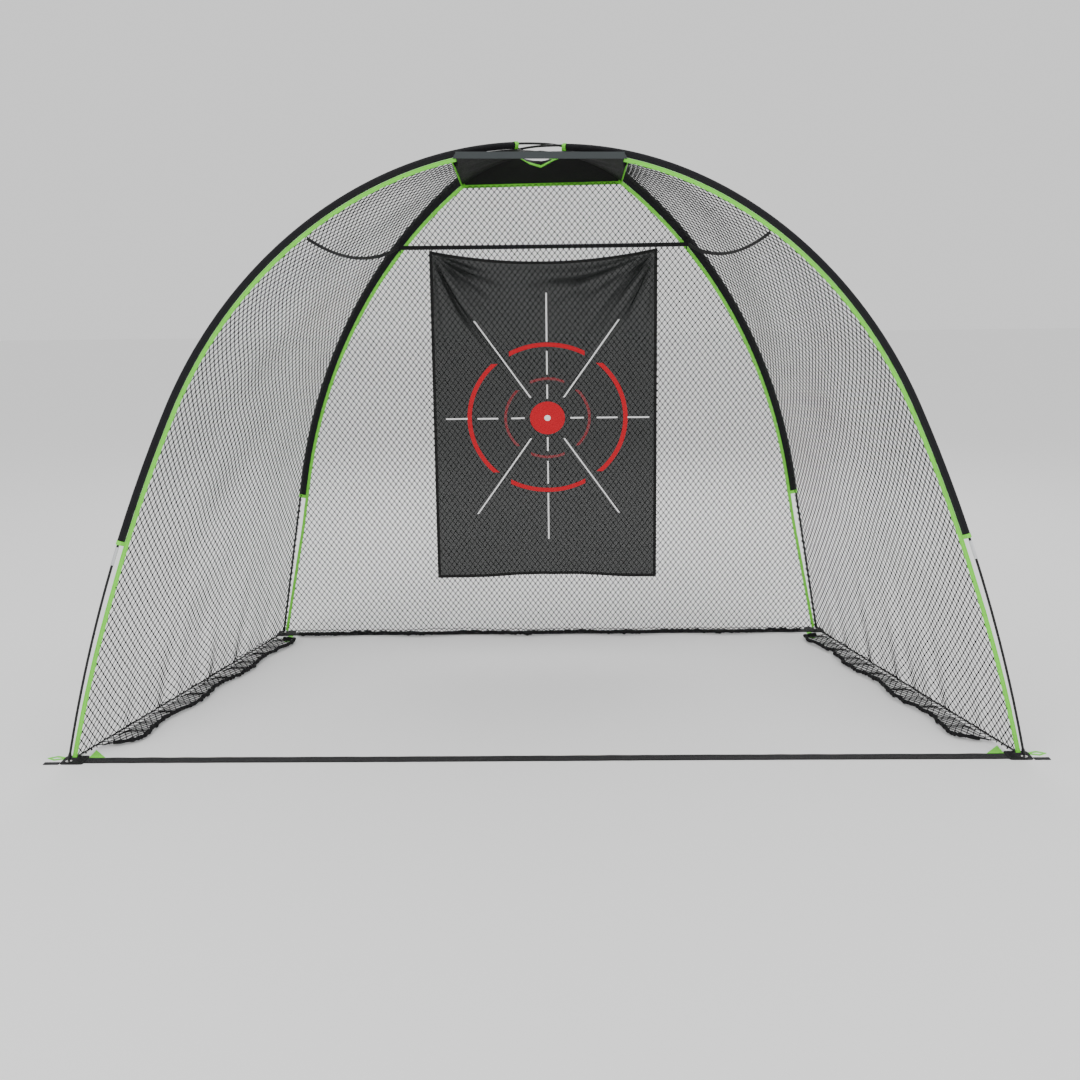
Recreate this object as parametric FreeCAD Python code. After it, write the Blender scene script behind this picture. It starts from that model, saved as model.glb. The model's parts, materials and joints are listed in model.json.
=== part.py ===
"""Golf chipping net: two sectional poles crossed in an arch, with sleeves, nets and a hanging target.

Millimetres. X runs across the open front, +Y goes from the open front to the rear, +Z is up.
The origin is on the floor, midway between the two front feet.
"""
import FreeCAD
import Part
import math
import os

Vec = FreeCAD.Vector

# ---- driving dimensions -------------------------------------------------------------------------
front_width = 3175.0          # between the front feet
rear_width = 2400.0           # between the rear feet
base_depth = 1620.0           # from the line of the front feet to the line of the rear feet
crown_height = 2044.0         # centre line of the lower pole where the two poles cross

pole_diameter = 8.5
pole_bore = 4.5
section_count = 8             # push-fit sections in each pole
section_gap = 0.3             # between the butted ends of two sections
ferrule_diameter = 10.5
ferrule_length = 62.0
push_gap = 0.1                # round a pole in a ferrule or tip, and under a grommet's flange
shock_cord_diameter = 3.0
shock_cord_end = 40.0         # from the foot to the knot inside the tip

foot_height = 2.0             # from the floor to the start of a pole's centre line
front_leg = 50.0              # straight run above a front foot
front_lean = 13.0             # degrees from upright, at a front foot
front_shoulder = 64.2         # slope in degrees where the front curve tightens
rear_leg = 728.0
rear_lean = 12.3
rear_shoulder = 33.8

sleeve_sizes = {"front": (26.0, 18.0), "rear": (36.0, 19.0)}   # width in the arch, and depth across it
sleeve_rim = 7.0              # from the pole's centre line to the sleeve's outer edge
sleeve_wall = 1.3
front_sleeve_foot = 722.0     # height of the lower end of a front sleeve
rear_sleeve_foot = 640.0
crown_gap = 100.0             # bare pole each side of the crossing, along the pole
binding_width = 15.0
binding_thickness = 2.4
net_thickness = 2.0
sewing_gap = 0.3              # between soft pieces that are sewn edge to edge

roof_half_widths = {"front": 318.0, "rear": 318.0}   # from the middle to where its corners meet the poles
roof_gap = 2.0                # between a sleeve's edge and the roof's corner
roof_apex_height = 2020.0     # underside of the roof below the crossing
roof_thickness = 1.2
roof_hem_width = 24.0
roof_hem_thickness = 3.0
net_below_roof = 14.0         # along the pole, from the roof's corner to the top of a net
crown_hole = (80.0, 60.0)     # half width and half depth of the diamond hole at the crown
crown_trim_width = 12.0
trim_gap = 0.002              # between the roof and the trim, as a share of the way in to the hole
roof_rise = {"corner": 0.8, "middle": 0.9}   # share of the climb to the apex, at the hole's edge
roof_binding_share = 0.94     # of the roof's edge that is bound

strap_height = 1688.0         # centre of the target's cross strap
strap_setback = 40.3          # of the strap, in front of the rear bindings at its ends
strap_clearance = 9.0         # between a binding and the end of a strap
strap_front_height = 1745.0   # where the strap leaves the front sleeves
strap_width = 13.0
strap_thickness = 2.0
strap_sag = 52.0              # of each side strap below the line between its ends
toggle_diameter = 5.0
toggle_length = 12.0

target_width = 905.0
target_drop = 13.0            # from the middle of the strap down to the top of the sheet
target_bottom = 350.0
target_thickness = 1.2
target_setback = 5.0          # the sheet hangs this far in front of the strap's middle
hem_width = 12.0
hem_thickness = 2.6
tie_diameter = 2.0
tie_radius = 9.5              # of the round ends of the oval ring that goes about the strap
eyelet_diameter = 5.0
eyelet_inset = 8.0            # from the sheet's side edge and top edge
tie_tail = 40.0
tie_bar = 9.0
tie_lean = (1.0, -1.0, 0.45)  # the way a tail points: outward, forward and up

tab_size = 80.0               # square patch under each foot
tab_thickness = 3.0
tab_overhang = 25.0           # of the patch outside its foot, both ways
grommet_bore = 9.0
grommet_flange = 22.0
grommet_wall = 1.0
tip_diameter = 11.5
tip_length = 26.0
tip_pin_diameter = 6.0
tip_pin_length = 9.0

webbing_width = 50.0          # ground straps
webbing_thickness = 2.0
front_strap_middle = 10.0     # behind the line of the front feet
cord_diameter = 5.0           # side base cords
cord_gap = 0.6                # between a base cord's end and a corner patch
skirt_width = 95.0            # net that lies on the floor inside the base
skirt_thickness = 3.0
skirt_start = 62.0            # from a front corner patch to the start of a side skirt
skirt_rope_width = 11.0
skirt_rope_height = 9.0
skirt_wave = 13.0             # how far the skirt's free edge wanders
skirt_waves = {"side": 3.5, "rear": 5.0}
rear_skirt_width = 47.5
skirt_clearance = 1.0         # between a base cord and its skirt
gusset_sides = (56.0, 74.0)   # green corner patches inside the front corners, across and back

loop_length = 58.0            # front peg loops, a diamond of webbing
loop_width = 40.0
loop_webbing = 9.0
loop_hinge_share = 0.4        # of the loop's width, where it is cut square at the hinge
strip_length = 92.0           # rear peg loops, webbing folded flat
strip_width = 22.0
tail_length = 52.0            # loose ends of the front ground strap
tail_width = 22.0
hinge_gap = 2.0               # between a corner patch and a loop that folds up from it

net_rows = 18                 # levels in the outline of each net
edge_steps = 16               # pieces along a skirt's or strap's outline
smallest_net_inset = 9.0      # from a pole's centre line to its binding, at the foot
net_foot = 17.0               # height of the lowest corners of the nets and their bindings
net_taper = 0.8               # share of a sleeve's foot height where the binding has its full inset

# ---- the arch of a pole ------------------------------------------------------------------------
crossing_y = base_depth * front_width / (front_width + rear_width)
front_run = math.hypot(front_width / 2, crossing_y)
rear_run = math.hypot(rear_width / 2, base_depth - crossing_y)
pole_offset = pole_diameter + 0.5      # the left pole passes over the right one


def half_arch(run, rise, leg, lean, shoulder):
    """Foot to crown: a straight leg, a wide arc to the shoulder and a tighter arc that ends level."""
    start = math.radians(90 - lean)
    bend = math.radians(shoulder)
    across = run - leg * math.cos(start)
    up = rise - leg * math.sin(start)
    a, b = math.sin(start) - math.sin(bend), math.sin(bend)
    c, d = math.cos(bend) - math.cos(start), 1 - math.cos(bend)
    scale = a * d - b * c
    wide = (across * d - b * up) / scale
    tight = (a * up - c * across) / scale
    return start, [(leg, None), (wide * (start - bend), wide), (tight * bend, tight)]


def pole_runs(side):
    """The runs of one pole from its front foot to its rear foot, as (length, radius or None)."""
    rise = crown_height - foot_height + (pole_offset if side < 0 else 0)
    heading, front = half_arch(front_run, rise, front_leg, front_lean, front_shoulder)
    rear = half_arch(rear_run, rise, rear_leg, rear_lean, rear_shoulder)[1]
    return heading, front, front + rear[::-1]


def foot(end, side):
    """The floor point of a foot. side is -1 on the left and 1 on the right."""
    if end == "front":
        return Vec(side * front_width / 2, 0, 0)
    return Vec(side * rear_width / 2, base_depth, 0)


def trace(side, length):
    """At a distance along a pole: the centre point, the way it heads and the way into the arch."""
    heading, front, runs = pole_runs(side)
    across, up, left = 0.0, foot_height, length
    for run, radius in runs:
        step = min(left, run)
        if radius is None:
            across += step * math.cos(heading)
            up += step * math.sin(heading)
        else:
            turned = heading - step / radius
            across += radius * (math.sin(heading) - math.sin(turned))
            up += radius * (math.cos(turned) - math.cos(heading))
            heading = turned
        left -= step
        if left <= 0:
            break
    start = foot("front", side)
    along = (foot("rear", -side) - start).normalize()
    direction = along * math.cos(heading) + Vec(0, 0, math.sin(heading))
    inward = along * math.sin(heading) - Vec(0, 0, math.cos(heading))
    return start + along * across + Vec(0, 0, up), direction, inward


def crown_length(side):
    return sum(run for run, radius in pole_runs(side)[1])


def pole_length(side):
    return sum(run for run, radius in pole_runs(side)[2])


def length_where(end, side, passed):
    """How far along its pole a test on the centre point first holds, going up from the named foot."""
    pole = side if end == "front" else -side
    below, above = (0.0 if end == "front" else pole_length(pole)), crown_length(pole)
    for _ in range(40):
        middle = (below + above) / 2
        if passed(trace(pole, middle)[0]):
            above = middle
        else:
            below = middle
    return above


def length_at(end, side, height):
    return length_where(end, side, lambda point: point.z >= height)


def roof_length(end, side):
    return length_where(end, side, lambda point: abs(point.x) <= roof_half_widths[end])


def arch_point(end, side, length, reach):
    """A point at some distance into the arch from the centre line of the pole on the named foot."""
    point, direction, inward = trace(side if end == "front" else -side, length)
    return point + inward * reach


def pole_wire(side, start, stop):
    """The centre line between two distances, as straight and round edges."""
    edges, done = [], 0.0
    for run, radius in pole_runs(side)[2]:
        low, high = max(start, done), min(stop, done + run)
        done += run
        if high - low < 0.01:
            continue
        first, middle, last = (trace(side, at)[0] for at in (low, (low + high) / 2, high))
        if radius is None:
            edges.append(Part.LineSegment(first, last).toShape())
        else:
            edges.append(Part.Arc(first, middle, last).toShape())
    return Part.Wire(edges)


def rod(side, start, stop, diameter):
    point, direction, inward = trace(side, start)
    profile = Part.Wire([Part.makeCircle(diameter / 2, point, direction)])
    return pole_wire(side, start, stop).makePipeShell([profile], True, False)


def tube(side, start, stop, diameter, bore):
    return rod(side, start, stop, diameter).cut(rod(side, start - 1, stop + 1, bore))


# ---- thin closed sheets ------------------------------------------------------------------------
def closed_solid(quads):
    """A solid from four-cornered faces, each split into two flat triangles."""
    faces = []
    for a, b, c, d in quads:
        faces.append(Part.Face(Part.makePolygon([a, b, c, a])))
        faces.append(Part.Face(Part.makePolygon([a, c, d, a])))
    solid = Part.Solid(Part.Shell(faces))
    if solid.Volume < 0:
        solid.reverse()
    return solid


def sheet(rows, offset):
    """A closed solid between a grid of points and the same grid moved by offset."""
    moved = [[point + offset for point in row] for row in rows]
    quads = []
    last, side = len(rows) - 1, len(rows[0]) - 1
    for i in range(last):
        for j in range(side):
            quads.append((rows[i][j], rows[i + 1][j], rows[i + 1][j + 1], rows[i][j + 1]))
            quads.append((moved[i][j], moved[i][j + 1], moved[i + 1][j + 1], moved[i + 1][j]))
        for j in (0, side):
            quads.append((rows[i][j], moved[i][j], moved[i + 1][j], rows[i + 1][j]))
    for j in range(side):
        for i in (0, last):
            quads.append((rows[i][j], rows[i][j + 1], moved[i][j + 1], moved[i][j]))
    return closed_solid(quads)


def ring_sheet(rings, offset):
    """A closed sheet that runs right round between rings of points; each ring ends where it starts."""
    quads = []
    for outer, inner in zip(rings, rings[1:]):
        for k in range(len(outer) - 1):
            quads.append((outer[k], outer[k + 1], inner[k + 1], inner[k]))
            quads.append((outer[k] + offset, inner[k] + offset, inner[k + 1] + offset, outer[k + 1] + offset))
    for edge in (rings[0], rings[-1]):
        for k in range(len(edge) - 1):
            quads.append((edge[k], edge[k] + offset, edge[k + 1] + offset, edge[k + 1]))
    return closed_solid(quads)


def between(start, stop, share):
    return start + (stop - start) * share


def box(x, y, z):
    """A block from three (low, high) pairs."""
    return Part.makeBox(x[1] - x[0], y[1] - y[0], z[1] - z[0], Vec(x[0], y[0], z[0]))


def save(name, solids):
    solids = solids if isinstance(solids, list) else [solids]
    shape = solids[0] if len(solids) == 1 else Part.makeCompound(solids)
    shape.exportStep("parts/%s.step" % name)


# ---- poles -------------------------------------------------------------------------------------
def pole_end(side, at_front, near, far):
    """Two distances measured from one end of a pole, as distances from its front foot."""
    whole = pole_length(side)
    return (near, far) if at_front else (whole - far, whole - near)


def make_poles():
    tips, ferrules, cords = [], [], []
    for name, side in (("left", -1), ("right", 1)):
        whole = pole_length(side)
        section = whole / section_count
        for number in range(section_count):
            start = number * section + section_gap / 2
            stop = (number + 1) * section - section_gap / 2
            if number == 0:
                start = tip_pin_length + section_gap
            if number == section_count - 1:
                stop = whole - tip_pin_length - section_gap
            save("%s_pole_section_%d" % (name, number + 1), tube(side, start, stop, pole_diameter, pole_bore))
        for number in range(1, section_count):
            middle = number * section
            ferrules.append(tube(side, middle - ferrule_length / 2, middle + ferrule_length / 2,
                                 ferrule_diameter, pole_diameter + push_gap))
        cords.append(rod(side, shock_cord_end, whole - shock_cord_end, shock_cord_diameter))
        for at_front in (True, False):
            cap = tube(side, *pole_end(side, at_front, tip_pin_length + section_gap, tip_length),
                       tip_diameter, pole_diameter + push_gap)
            pin = rod(side, *pole_end(side, at_front, 0.5, tip_pin_length), tip_pin_diameter)
            collar = rod(side, *pole_end(side, at_front, tip_pin_length - 2, tip_pin_length), tip_diameter)
            wall = tube(side, *pole_end(side, at_front, tip_pin_length - 1, tip_pin_length + 1),
                        tip_diameter, pole_diameter + push_gap)
            tips.append(pin.fuse([collar, wall, cap]).removeSplitter().Solids[0])
    save("pole_tips", tips)
    save("pole_ferrules", ferrules)
    save("shock_cords", cords)


# ---- sleeves, bindings and nets ----------------------------------------------------------------
def sleeve_reach(end):
    """From a pole's centre line to the inner edge of its sleeve."""
    return sleeve_sizes[end][0] - sleeve_rim


def sleeve_core(side, end, start, stop, margin):
    """An oval bar along a pole, set into the arch so that the pole lies along its outer edge."""
    width, depth = (size / 2 - margin for size in sleeve_sizes[end])
    point, direction, inward = trace(side, start)
    centre = point + inward * (sleeve_sizes[end][0] / 2 - sleeve_rim)
    across = direction.cross(inward)
    oval = Part.Ellipse(centre + inward * width, centre + across * depth, centre)
    return pole_wire(side, start, stop).makePipeShell([Part.Wire([oval.toShape()])], True, False)


def sleeve(side, end, start, stop):
    outer = sleeve_core(side, end, start, stop, 0)
    return outer.cut(sleeve_core(side, end, start - 1, stop + 1, sleeve_wall))


def make_sleeves():
    for name, side in (("left", -1), ("right", 1)):
        start = length_at("front", side, front_sleeve_foot)
        save("front_%s_sleeve" % name, sleeve(side, "front", start, crown_length(side) - crown_gap))
        stop = length_at("rear", side, rear_sleeve_foot)
        save("rear_%s_sleeve" % name, sleeve(-side, "rear", crown_length(-side) + crown_gap, stop))


def net_inset(end, height):
    """From a pole's centre line to the sewn edge beside it: the sleeve, or less near the foot."""
    sleeved = sleeve_reach(end) + sewing_gap
    share = min(1.0, height / net_taper / (front_sleeve_foot if end == "front" else rear_sleeve_foot))
    return smallest_net_inset + (sleeved - smallest_net_inset) * share


def net_lengths(end, side):
    """Distances along a pole, from near the foot to just below the roof, where a net is held."""
    low = length_at(end, side, net_foot)
    top = roof_length(end, side) + (-net_below_roof if end == "front" else net_below_roof)
    return [low + (top - low) * row / net_rows for row in range(net_rows + 1)]


def binding_rows(end, side):
    """Pairs of points across the green tape that edges a sleeve on the inside of the arch."""
    rows = []
    for length in net_lengths(end, side):
        inset = net_inset(end, arch_point(end, side, length, 0).z)
        rows.append([arch_point(end, side, length, inset),
                     arch_point(end, side, length, inset + binding_width)])
    return rows


def make_nets():
    tapes = {(end, side): binding_rows(end, side) for end in ("front", "rear") for side in (-1, 1)}
    for name, side in (("left", -1), ("right", 1)):
        save("front_%s_binding" % name, sheet(tapes["front", side], Vec(0, binding_thickness, 0)))
        save("rear_%s_binding" % name, sheet(tapes["rear", side], Vec(0, -binding_thickness, 0)))
        net = []
        for (_, front), length in zip(tapes["front", side], net_lengths("rear", side)):
            front = front + Vec(0, binding_thickness + sewing_gap, 0)
            rear = arch_point("rear", side, length, 0)
            along = (rear - front).normalize()
            clear = sleeve_sizes["rear"][1] if rear.z > rear_sleeve_foot else tip_diameter
            net.append([front, rear - along * clear])
        save("%s_net" % name, sheet(net, Vec(side * net_thickness, 0, 0)))
    gap = Vec(sewing_gap, 0, 0)
    net = [[left + gap, right - gap] for (_, left), (_, right) in zip(tapes["rear", -1], tapes["rear", 1])]
    save("rear_net", sheet(net, Vec(0, net_thickness, 0)))


# ---- roof --------------------------------------------------------------------------------------
def roof_corner(end, side):
    return arch_point(end, side, roof_length(end, side), sleeve_reach(end) + roof_gap)


def roof_ring(corners, share):
    """Points right round the roof: its outline at share 0, the edge of the diamond hole at share 1.

    Each corner runs to the middle of an edge of the hole, and each edge's middle to a point of the hole.
    """
    half_width, half_depth = crown_hole
    hole = [Vec(0, crossing_y - half_depth, 0), Vec(half_width, crossing_y, 0),
            Vec(0, crossing_y + half_depth, 0), Vec(-half_width, crossing_y, 0)]
    points = []
    for k in range(4):
        middle = between(corners[k], corners[(k + 1) % 4], 0.5)
        edge = between(hole[k - 1], hole[k], 0.5)
        for start, goal, place in ((corners[k], edge, "corner"), (middle, hole[k], "middle")):
            rise = roof_rise[place]
            level = start.z + (roof_apex_height - start.z) * rise
            points.append(between(start, Vec(goal.x, goal.y, level), share))
    return points + [points[0]]


def make_roof():
    corners = [roof_corner(*key) for key in (("front", -1), ("front", 1), ("rear", 1), ("rear", -1))]
    trim_share = 1 - crown_trim_width / crown_hole[1] / 2
    panel = [roof_ring(corners, share) for share in (0.0, 0.5, trim_share)]
    trim = [roof_ring(corners, share) for share in (trim_share + trim_gap, 1.0)]
    save("roof_panel", ring_sheet(panel, Vec(0, 0, roof_thickness)))
    save("crown_trim", ring_sheet(trim, Vec(0, 0, roof_thickness * 1.5)))
    lift = Vec(0, -roof_hem_thickness - sewing_gap, roof_hem_width)
    along = (foot("rear", -1) - foot("front", 1)).normalize()
    inset = Vec((sleeve_sizes["front"][1] / 2 + sewing_gap) / along.y, 0, 0)   # clears the sleeves' sides
    tops = [corners[0] + lift + inset, corners[1] + lift - inset]
    rows = [[top, top - Vec(0, 0, roof_hem_width)] for top in tops]
    save("roof_front_hem", sheet(rows, Vec(0, roof_hem_thickness, 0)))
    bindings = []
    short = (1 - roof_binding_share) / 2
    for first, last, out in ((corners[1], corners[2], Vec(1, 0, 0)), (corners[2], corners[3], Vec(0, 1, 0)),
                             (corners[3], corners[0], Vec(-1, 0, 0))):
        ends = [between(first, last, share) + out * sewing_gap for share in (short, 1 - short)]
        rows = [[end, end - Vec(0, 0, binding_width)] for end in ends]
        bindings.append(sheet(rows, out * binding_thickness))
    save("roof_bindings", bindings)


# ---- hanging strap and target ------------------------------------------------------------------
def strap_end(end, side):
    """Where the strap meets a binding, just clear of it on the inside of the arch."""
    length = length_at(end, side, strap_front_height if end == "front" else strap_height)
    return arch_point(end, side, length, sleeve_reach(end) + binding_width + strap_clearance)


strap_y = strap_end("rear", 1).y - strap_setback


def make_hanging_strap():
    rear_x = strap_end("rear", 1).x
    half = strap_width / 2
    save("cross_strap", box((-rear_x, rear_x), (strap_y - strap_thickness / 2, strap_y + strap_thickness / 2),
                            (strap_height - half, strap_height + half)))
    toggles = []
    for name, side in (("left", -1), ("right", 1)):
        front = strap_end("front", side)
        rear = Vec(side * (rear_x + sewing_gap), strap_y, strap_height)
        rows = []
        for step in range(edge_steps + 1):
            share = step / edge_steps
            point = between(front, rear, share) - Vec(0, 0, strap_sag * 4 * share * (1 - share))
            rows.append([point - Vec(0, 0, half), point + Vec(0, 0, half)])
        save("%s_side_strap" % name, sheet(rows, Vec(side * strap_thickness, 0, 0)))
        low = strap_height - half - sewing_gap
        toggles.append(Part.makeCylinder(toggle_diameter / 2, toggle_length,
                                         Vec(side * (rear_x - toggle_diameter), strap_y, low - toggle_length)))
    save("strap_toggles", toggles)


def make_target():
    plane = strap_y - target_setback
    target_top = strap_height - target_drop
    half, depth = target_width / 2, (plane - target_thickness / 2, plane + target_thickness / 2)
    inner = half - hem_width
    save("target_sheet", box((-inner, inner), depth, (target_bottom + hem_width, target_top - hem_width)))
    hem_depth = (plane - hem_thickness / 2, plane + hem_thickness / 2)
    hem = box((-half, half), hem_depth, (target_bottom, target_top))
    hem = hem.cut(box((-inner, inner), hem_depth, (target_bottom + hem_width, target_top - hem_width)))
    eyelet_x, eyelet_z = half - eyelet_inset, target_top - eyelet_inset
    ties = []
    for side in (-1, 1):
        front = Vec(side * eyelet_x, plane - 2 * hem_thickness, eyelet_z)
        hem = hem.cut(Part.makeCylinder(eyelet_diameter / 2, 4 * hem_thickness, front, Vec(0, 1, 0)))
        ties.append(target_tie(side, eyelet_x, eyelet_z, plane))
    save("target_hem", hem)
    save("target_ties", ties)


def target_tie(side, x, eyelet_z, plane):
    """A plastic tie: an oval ring round the strap and through the eyelet, with a tail that ends in a bar."""
    centre = Vec(side * x, strap_y, strap_height)
    dip = math.sqrt(tie_radius ** 2 - target_setback ** 2)
    low = Vec(centre.x, strap_y, eyelet_z + dip)
    front, back, up = Vec(0, -tie_radius, 0), Vec(0, tie_radius, 0), Vec(0, 0, tie_radius)
    path = Part.Wire([Part.LineSegment(low + front, centre + front).toShape(),
                      Part.Arc(centre + front, centre + up, centre + back).toShape(),
                      Part.LineSegment(centre + back, low + back).toShape(),
                      Part.Arc(low + back, low - up, low + front).toShape()])
    profile = Part.Wire([Part.makeCircle(tie_diameter / 2, low + front, Vec(0, 0, 1))])
    ring = path.makePipeShell([profile], True, False)
    lean = Vec(side * tie_lean[0], tie_lean[1], tie_lean[2]).normalize()
    tail = Part.makeCylinder(tie_diameter / 2, tie_tail, centre + up, lean)
    end = centre + up + lean * tie_tail
    across = Vec(tie_lean[2], 0, -side * tie_lean[0]).normalize()
    bar = Part.makeCylinder(tie_diameter / 2, tie_bar, end - across * tie_bar / 2, across)
    return ring.fuse([tail, bar]).Solids[0]


# ---- base: corner patches, straps, cords, skirts and peg loops -----------------------------------
def tab_limits(end, side):
    """(x, y) limits of the patch under a foot; it reaches inside the base from its overhang."""
    point = foot(end, side)
    x = sorted((point.x + side * tab_overhang, point.x + side * (tab_overhang - tab_size)))
    inward = 1 if end == "front" else -1
    y = sorted((point.y - inward * tab_overhang, point.y + inward * (tab_size - tab_overhang)))
    return tuple(x), tuple(y)


def make_corners():
    grommets = []
    for end in ("front", "rear"):
        patches = []
        for side in (-1, 1):
            point = foot(end, side)
            tab = box(*tab_limits(end, side), (0, tab_thickness))
            barrel = grommet_bore / 2 + grommet_wall
            patches.append(tab.cut(Part.makeCylinder(barrel + push_gap, tab_thickness, point)))
            flange_foot = point + Vec(0, 0, tab_thickness + push_gap)
            flange = Part.makeCylinder(grommet_flange / 2, grommet_wall, flange_foot)
            wall = Part.makeCylinder(barrel, tab_thickness + push_gap, point)
            bore = Part.makeCylinder(grommet_bore / 2, 3 * tab_thickness, point - Vec(0, 0, tab_thickness))
            grommets.append(flange.fuse(wall).cut(bore).Solids[0])
        save("%s_corners" % end, patches)
    save("grommets", grommets)


def make_ground_straps():
    for end, middle in (("front", front_strap_middle), ("rear", base_depth - webbing_width / 2)):
        inside = tab_limits(end, 1)[0][0] - sewing_gap
        y = (middle - webbing_width / 2, middle + webbing_width / 2)
        save("%s_ground_strap" % end, box((-inside, inside), y, (0, webbing_thickness)))


def base_line(side):
    """The line of a side's base cord, from edge to edge of its two corner patches."""
    front, rear = foot("front", side), foot("rear", side)
    along = (rear - front).normalize()
    clear = (tab_size - tab_overhang + cord_diameter / 2 * abs(along.x)) / abs(along.y) + cord_gap
    return front + along * clear, rear - along * clear, along


def make_base_cords():
    cords = []
    for side in (-1, 1):
        start, stop, along = base_line(side)
        lift = Vec(0, 0, cord_diameter / 2)
        cords.append(Part.makeCylinder(cord_diameter / 2, (stop - start).Length, start + lift, along))
    save("base_cords", cords)


def skirt(start, stop, inward, width, waves):
    """A strip of net on the floor and the gathered rope along its wandering free edge."""
    net, rope = [], []
    gap = inward * sewing_gap
    for step in range(edge_steps + 1):
        share = step / edge_steps
        edge = between(start, stop, share)
        reach = width + skirt_wave * math.sin(2 * math.pi * waves * share)
        free = edge + inward * reach
        net.append([edge, free])
        rope.append([free + gap, free + gap + inward * skirt_rope_width])
    return sheet(net, Vec(0, 0, skirt_thickness)), sheet(rope, Vec(0, 0, skirt_rope_height))


def make_skirts():
    ropes = []
    for name, side in (("left", -1), ("right", 1)):
        start, stop, along = base_line(side)
        inward = Vec(-side, 0, 0)
        clear = inward * (cord_diameter / 2 + skirt_clearance)
        start, stop = start + along * skirt_start + clear, stop - along * (webbing_width + skirt_width) + clear
        net, rope = skirt(start, stop, inward, skirt_width, skirt_waves["side"])
        save("%s_skirt" % name, net)
        ropes.append(rope)
    inside = tab_limits("rear", 1)[0][0] - 2 * sewing_gap
    y = base_depth - webbing_width - sewing_gap
    net, rope = skirt(Vec(-inside, y, 0), Vec(inside, y, 0), Vec(0, -1, 0), rear_skirt_width,
                      skirt_waves["rear"])
    save("rear_skirt", net)
    save("skirt_ropes", ropes + [rope])


def make_gussets():
    """Triangular green patches on the floor inside the front corners."""
    patches = []
    for side in (-1, 1):
        x_limits, y_limits = tab_limits("front", side)
        inner_x = x_limits[1] if side < 0 else x_limits[0]
        corner = Vec(inner_x - side * sewing_gap, front_strap_middle + webbing_width / 2 + 1, 0)
        tip = corner - Vec(side * gusset_sides[0], 0, 0)
        back = corner + Vec(0, gusset_sides[1], 0)
        face = Part.Face(Part.makePolygon([corner, tip, back, corner]))
        patches.append(face.extrude(Vec(0, 0, webbing_thickness)))
    save("corner_gussets", patches)


def make_peg_loops():
    """Front: open diamonds of webbing, pointing out. Rear: folded strips, lying inside the base."""
    for name, side in (("left", -1), ("right", 1)):
        x_limits, y_limits = tab_limits("front", side)
        outer_x = x_limits[0] if side < 0 else x_limits[1]
        root = Vec(outer_x + side * hinge_gap, y_limits[1] - loop_width / 2, 0)
        save("front_%s_peg_loop" % name, diamond(root, side))
        end = Vec(outer_x + side * hinge_gap, y_limits[0] + tail_width / 2, 0)
        x = sorted((end.x, end.x + side * tail_length))
        save("front_%s_strap_tail" % name,
             box(x, (end.y - tail_width / 2, end.y + tail_width / 2), (0, webbing_thickness)))
        x_limits, y_limits = tab_limits("rear", side)
        inner_x = x_limits[1] if side < 0 else x_limits[0]
        near = (inner_x + side * strip_width, inner_x)
        top = y_limits[0] - hinge_gap
        save("rear_%s_peg_loop" % name,
             box(tuple(sorted(near)), (top - strip_length, top), (0, webbing_thickness)))


def diamond(root, side):
    """A four-sided loop of webbing, lying flat, with its first corner cut square at the hinge."""
    def outline(margin):
        half, length = loop_width / 2 - margin, loop_length - 2 * margin
        start = root + Vec(side * margin, 0, 0)
        hinge = half * loop_hinge_share
        points = [start + Vec(0, -hinge, 0), start + Vec(side * length / 2, -half, 0),
                  start + Vec(side * length, 0, 0), start + Vec(side * length / 2, half, 0),
                  start + Vec(0, hinge, 0)]
        return Part.Face(Part.makePolygon(points + [points[0]])).extrude(Vec(0, 0, webbing_thickness))
    return outline(0).cut(outline(loop_webbing))


os.makedirs("parts", exist_ok=True)
make_poles()
make_sleeves()
make_nets()
make_roof()
make_hanging_strap()
make_target()
make_corners()
make_ground_straps()
make_base_cords()
make_skirts()
make_gussets()
make_peg_loops()
print("pole length", round(pole_length(-1)), "section", round(pole_length(-1) / section_count))
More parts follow.
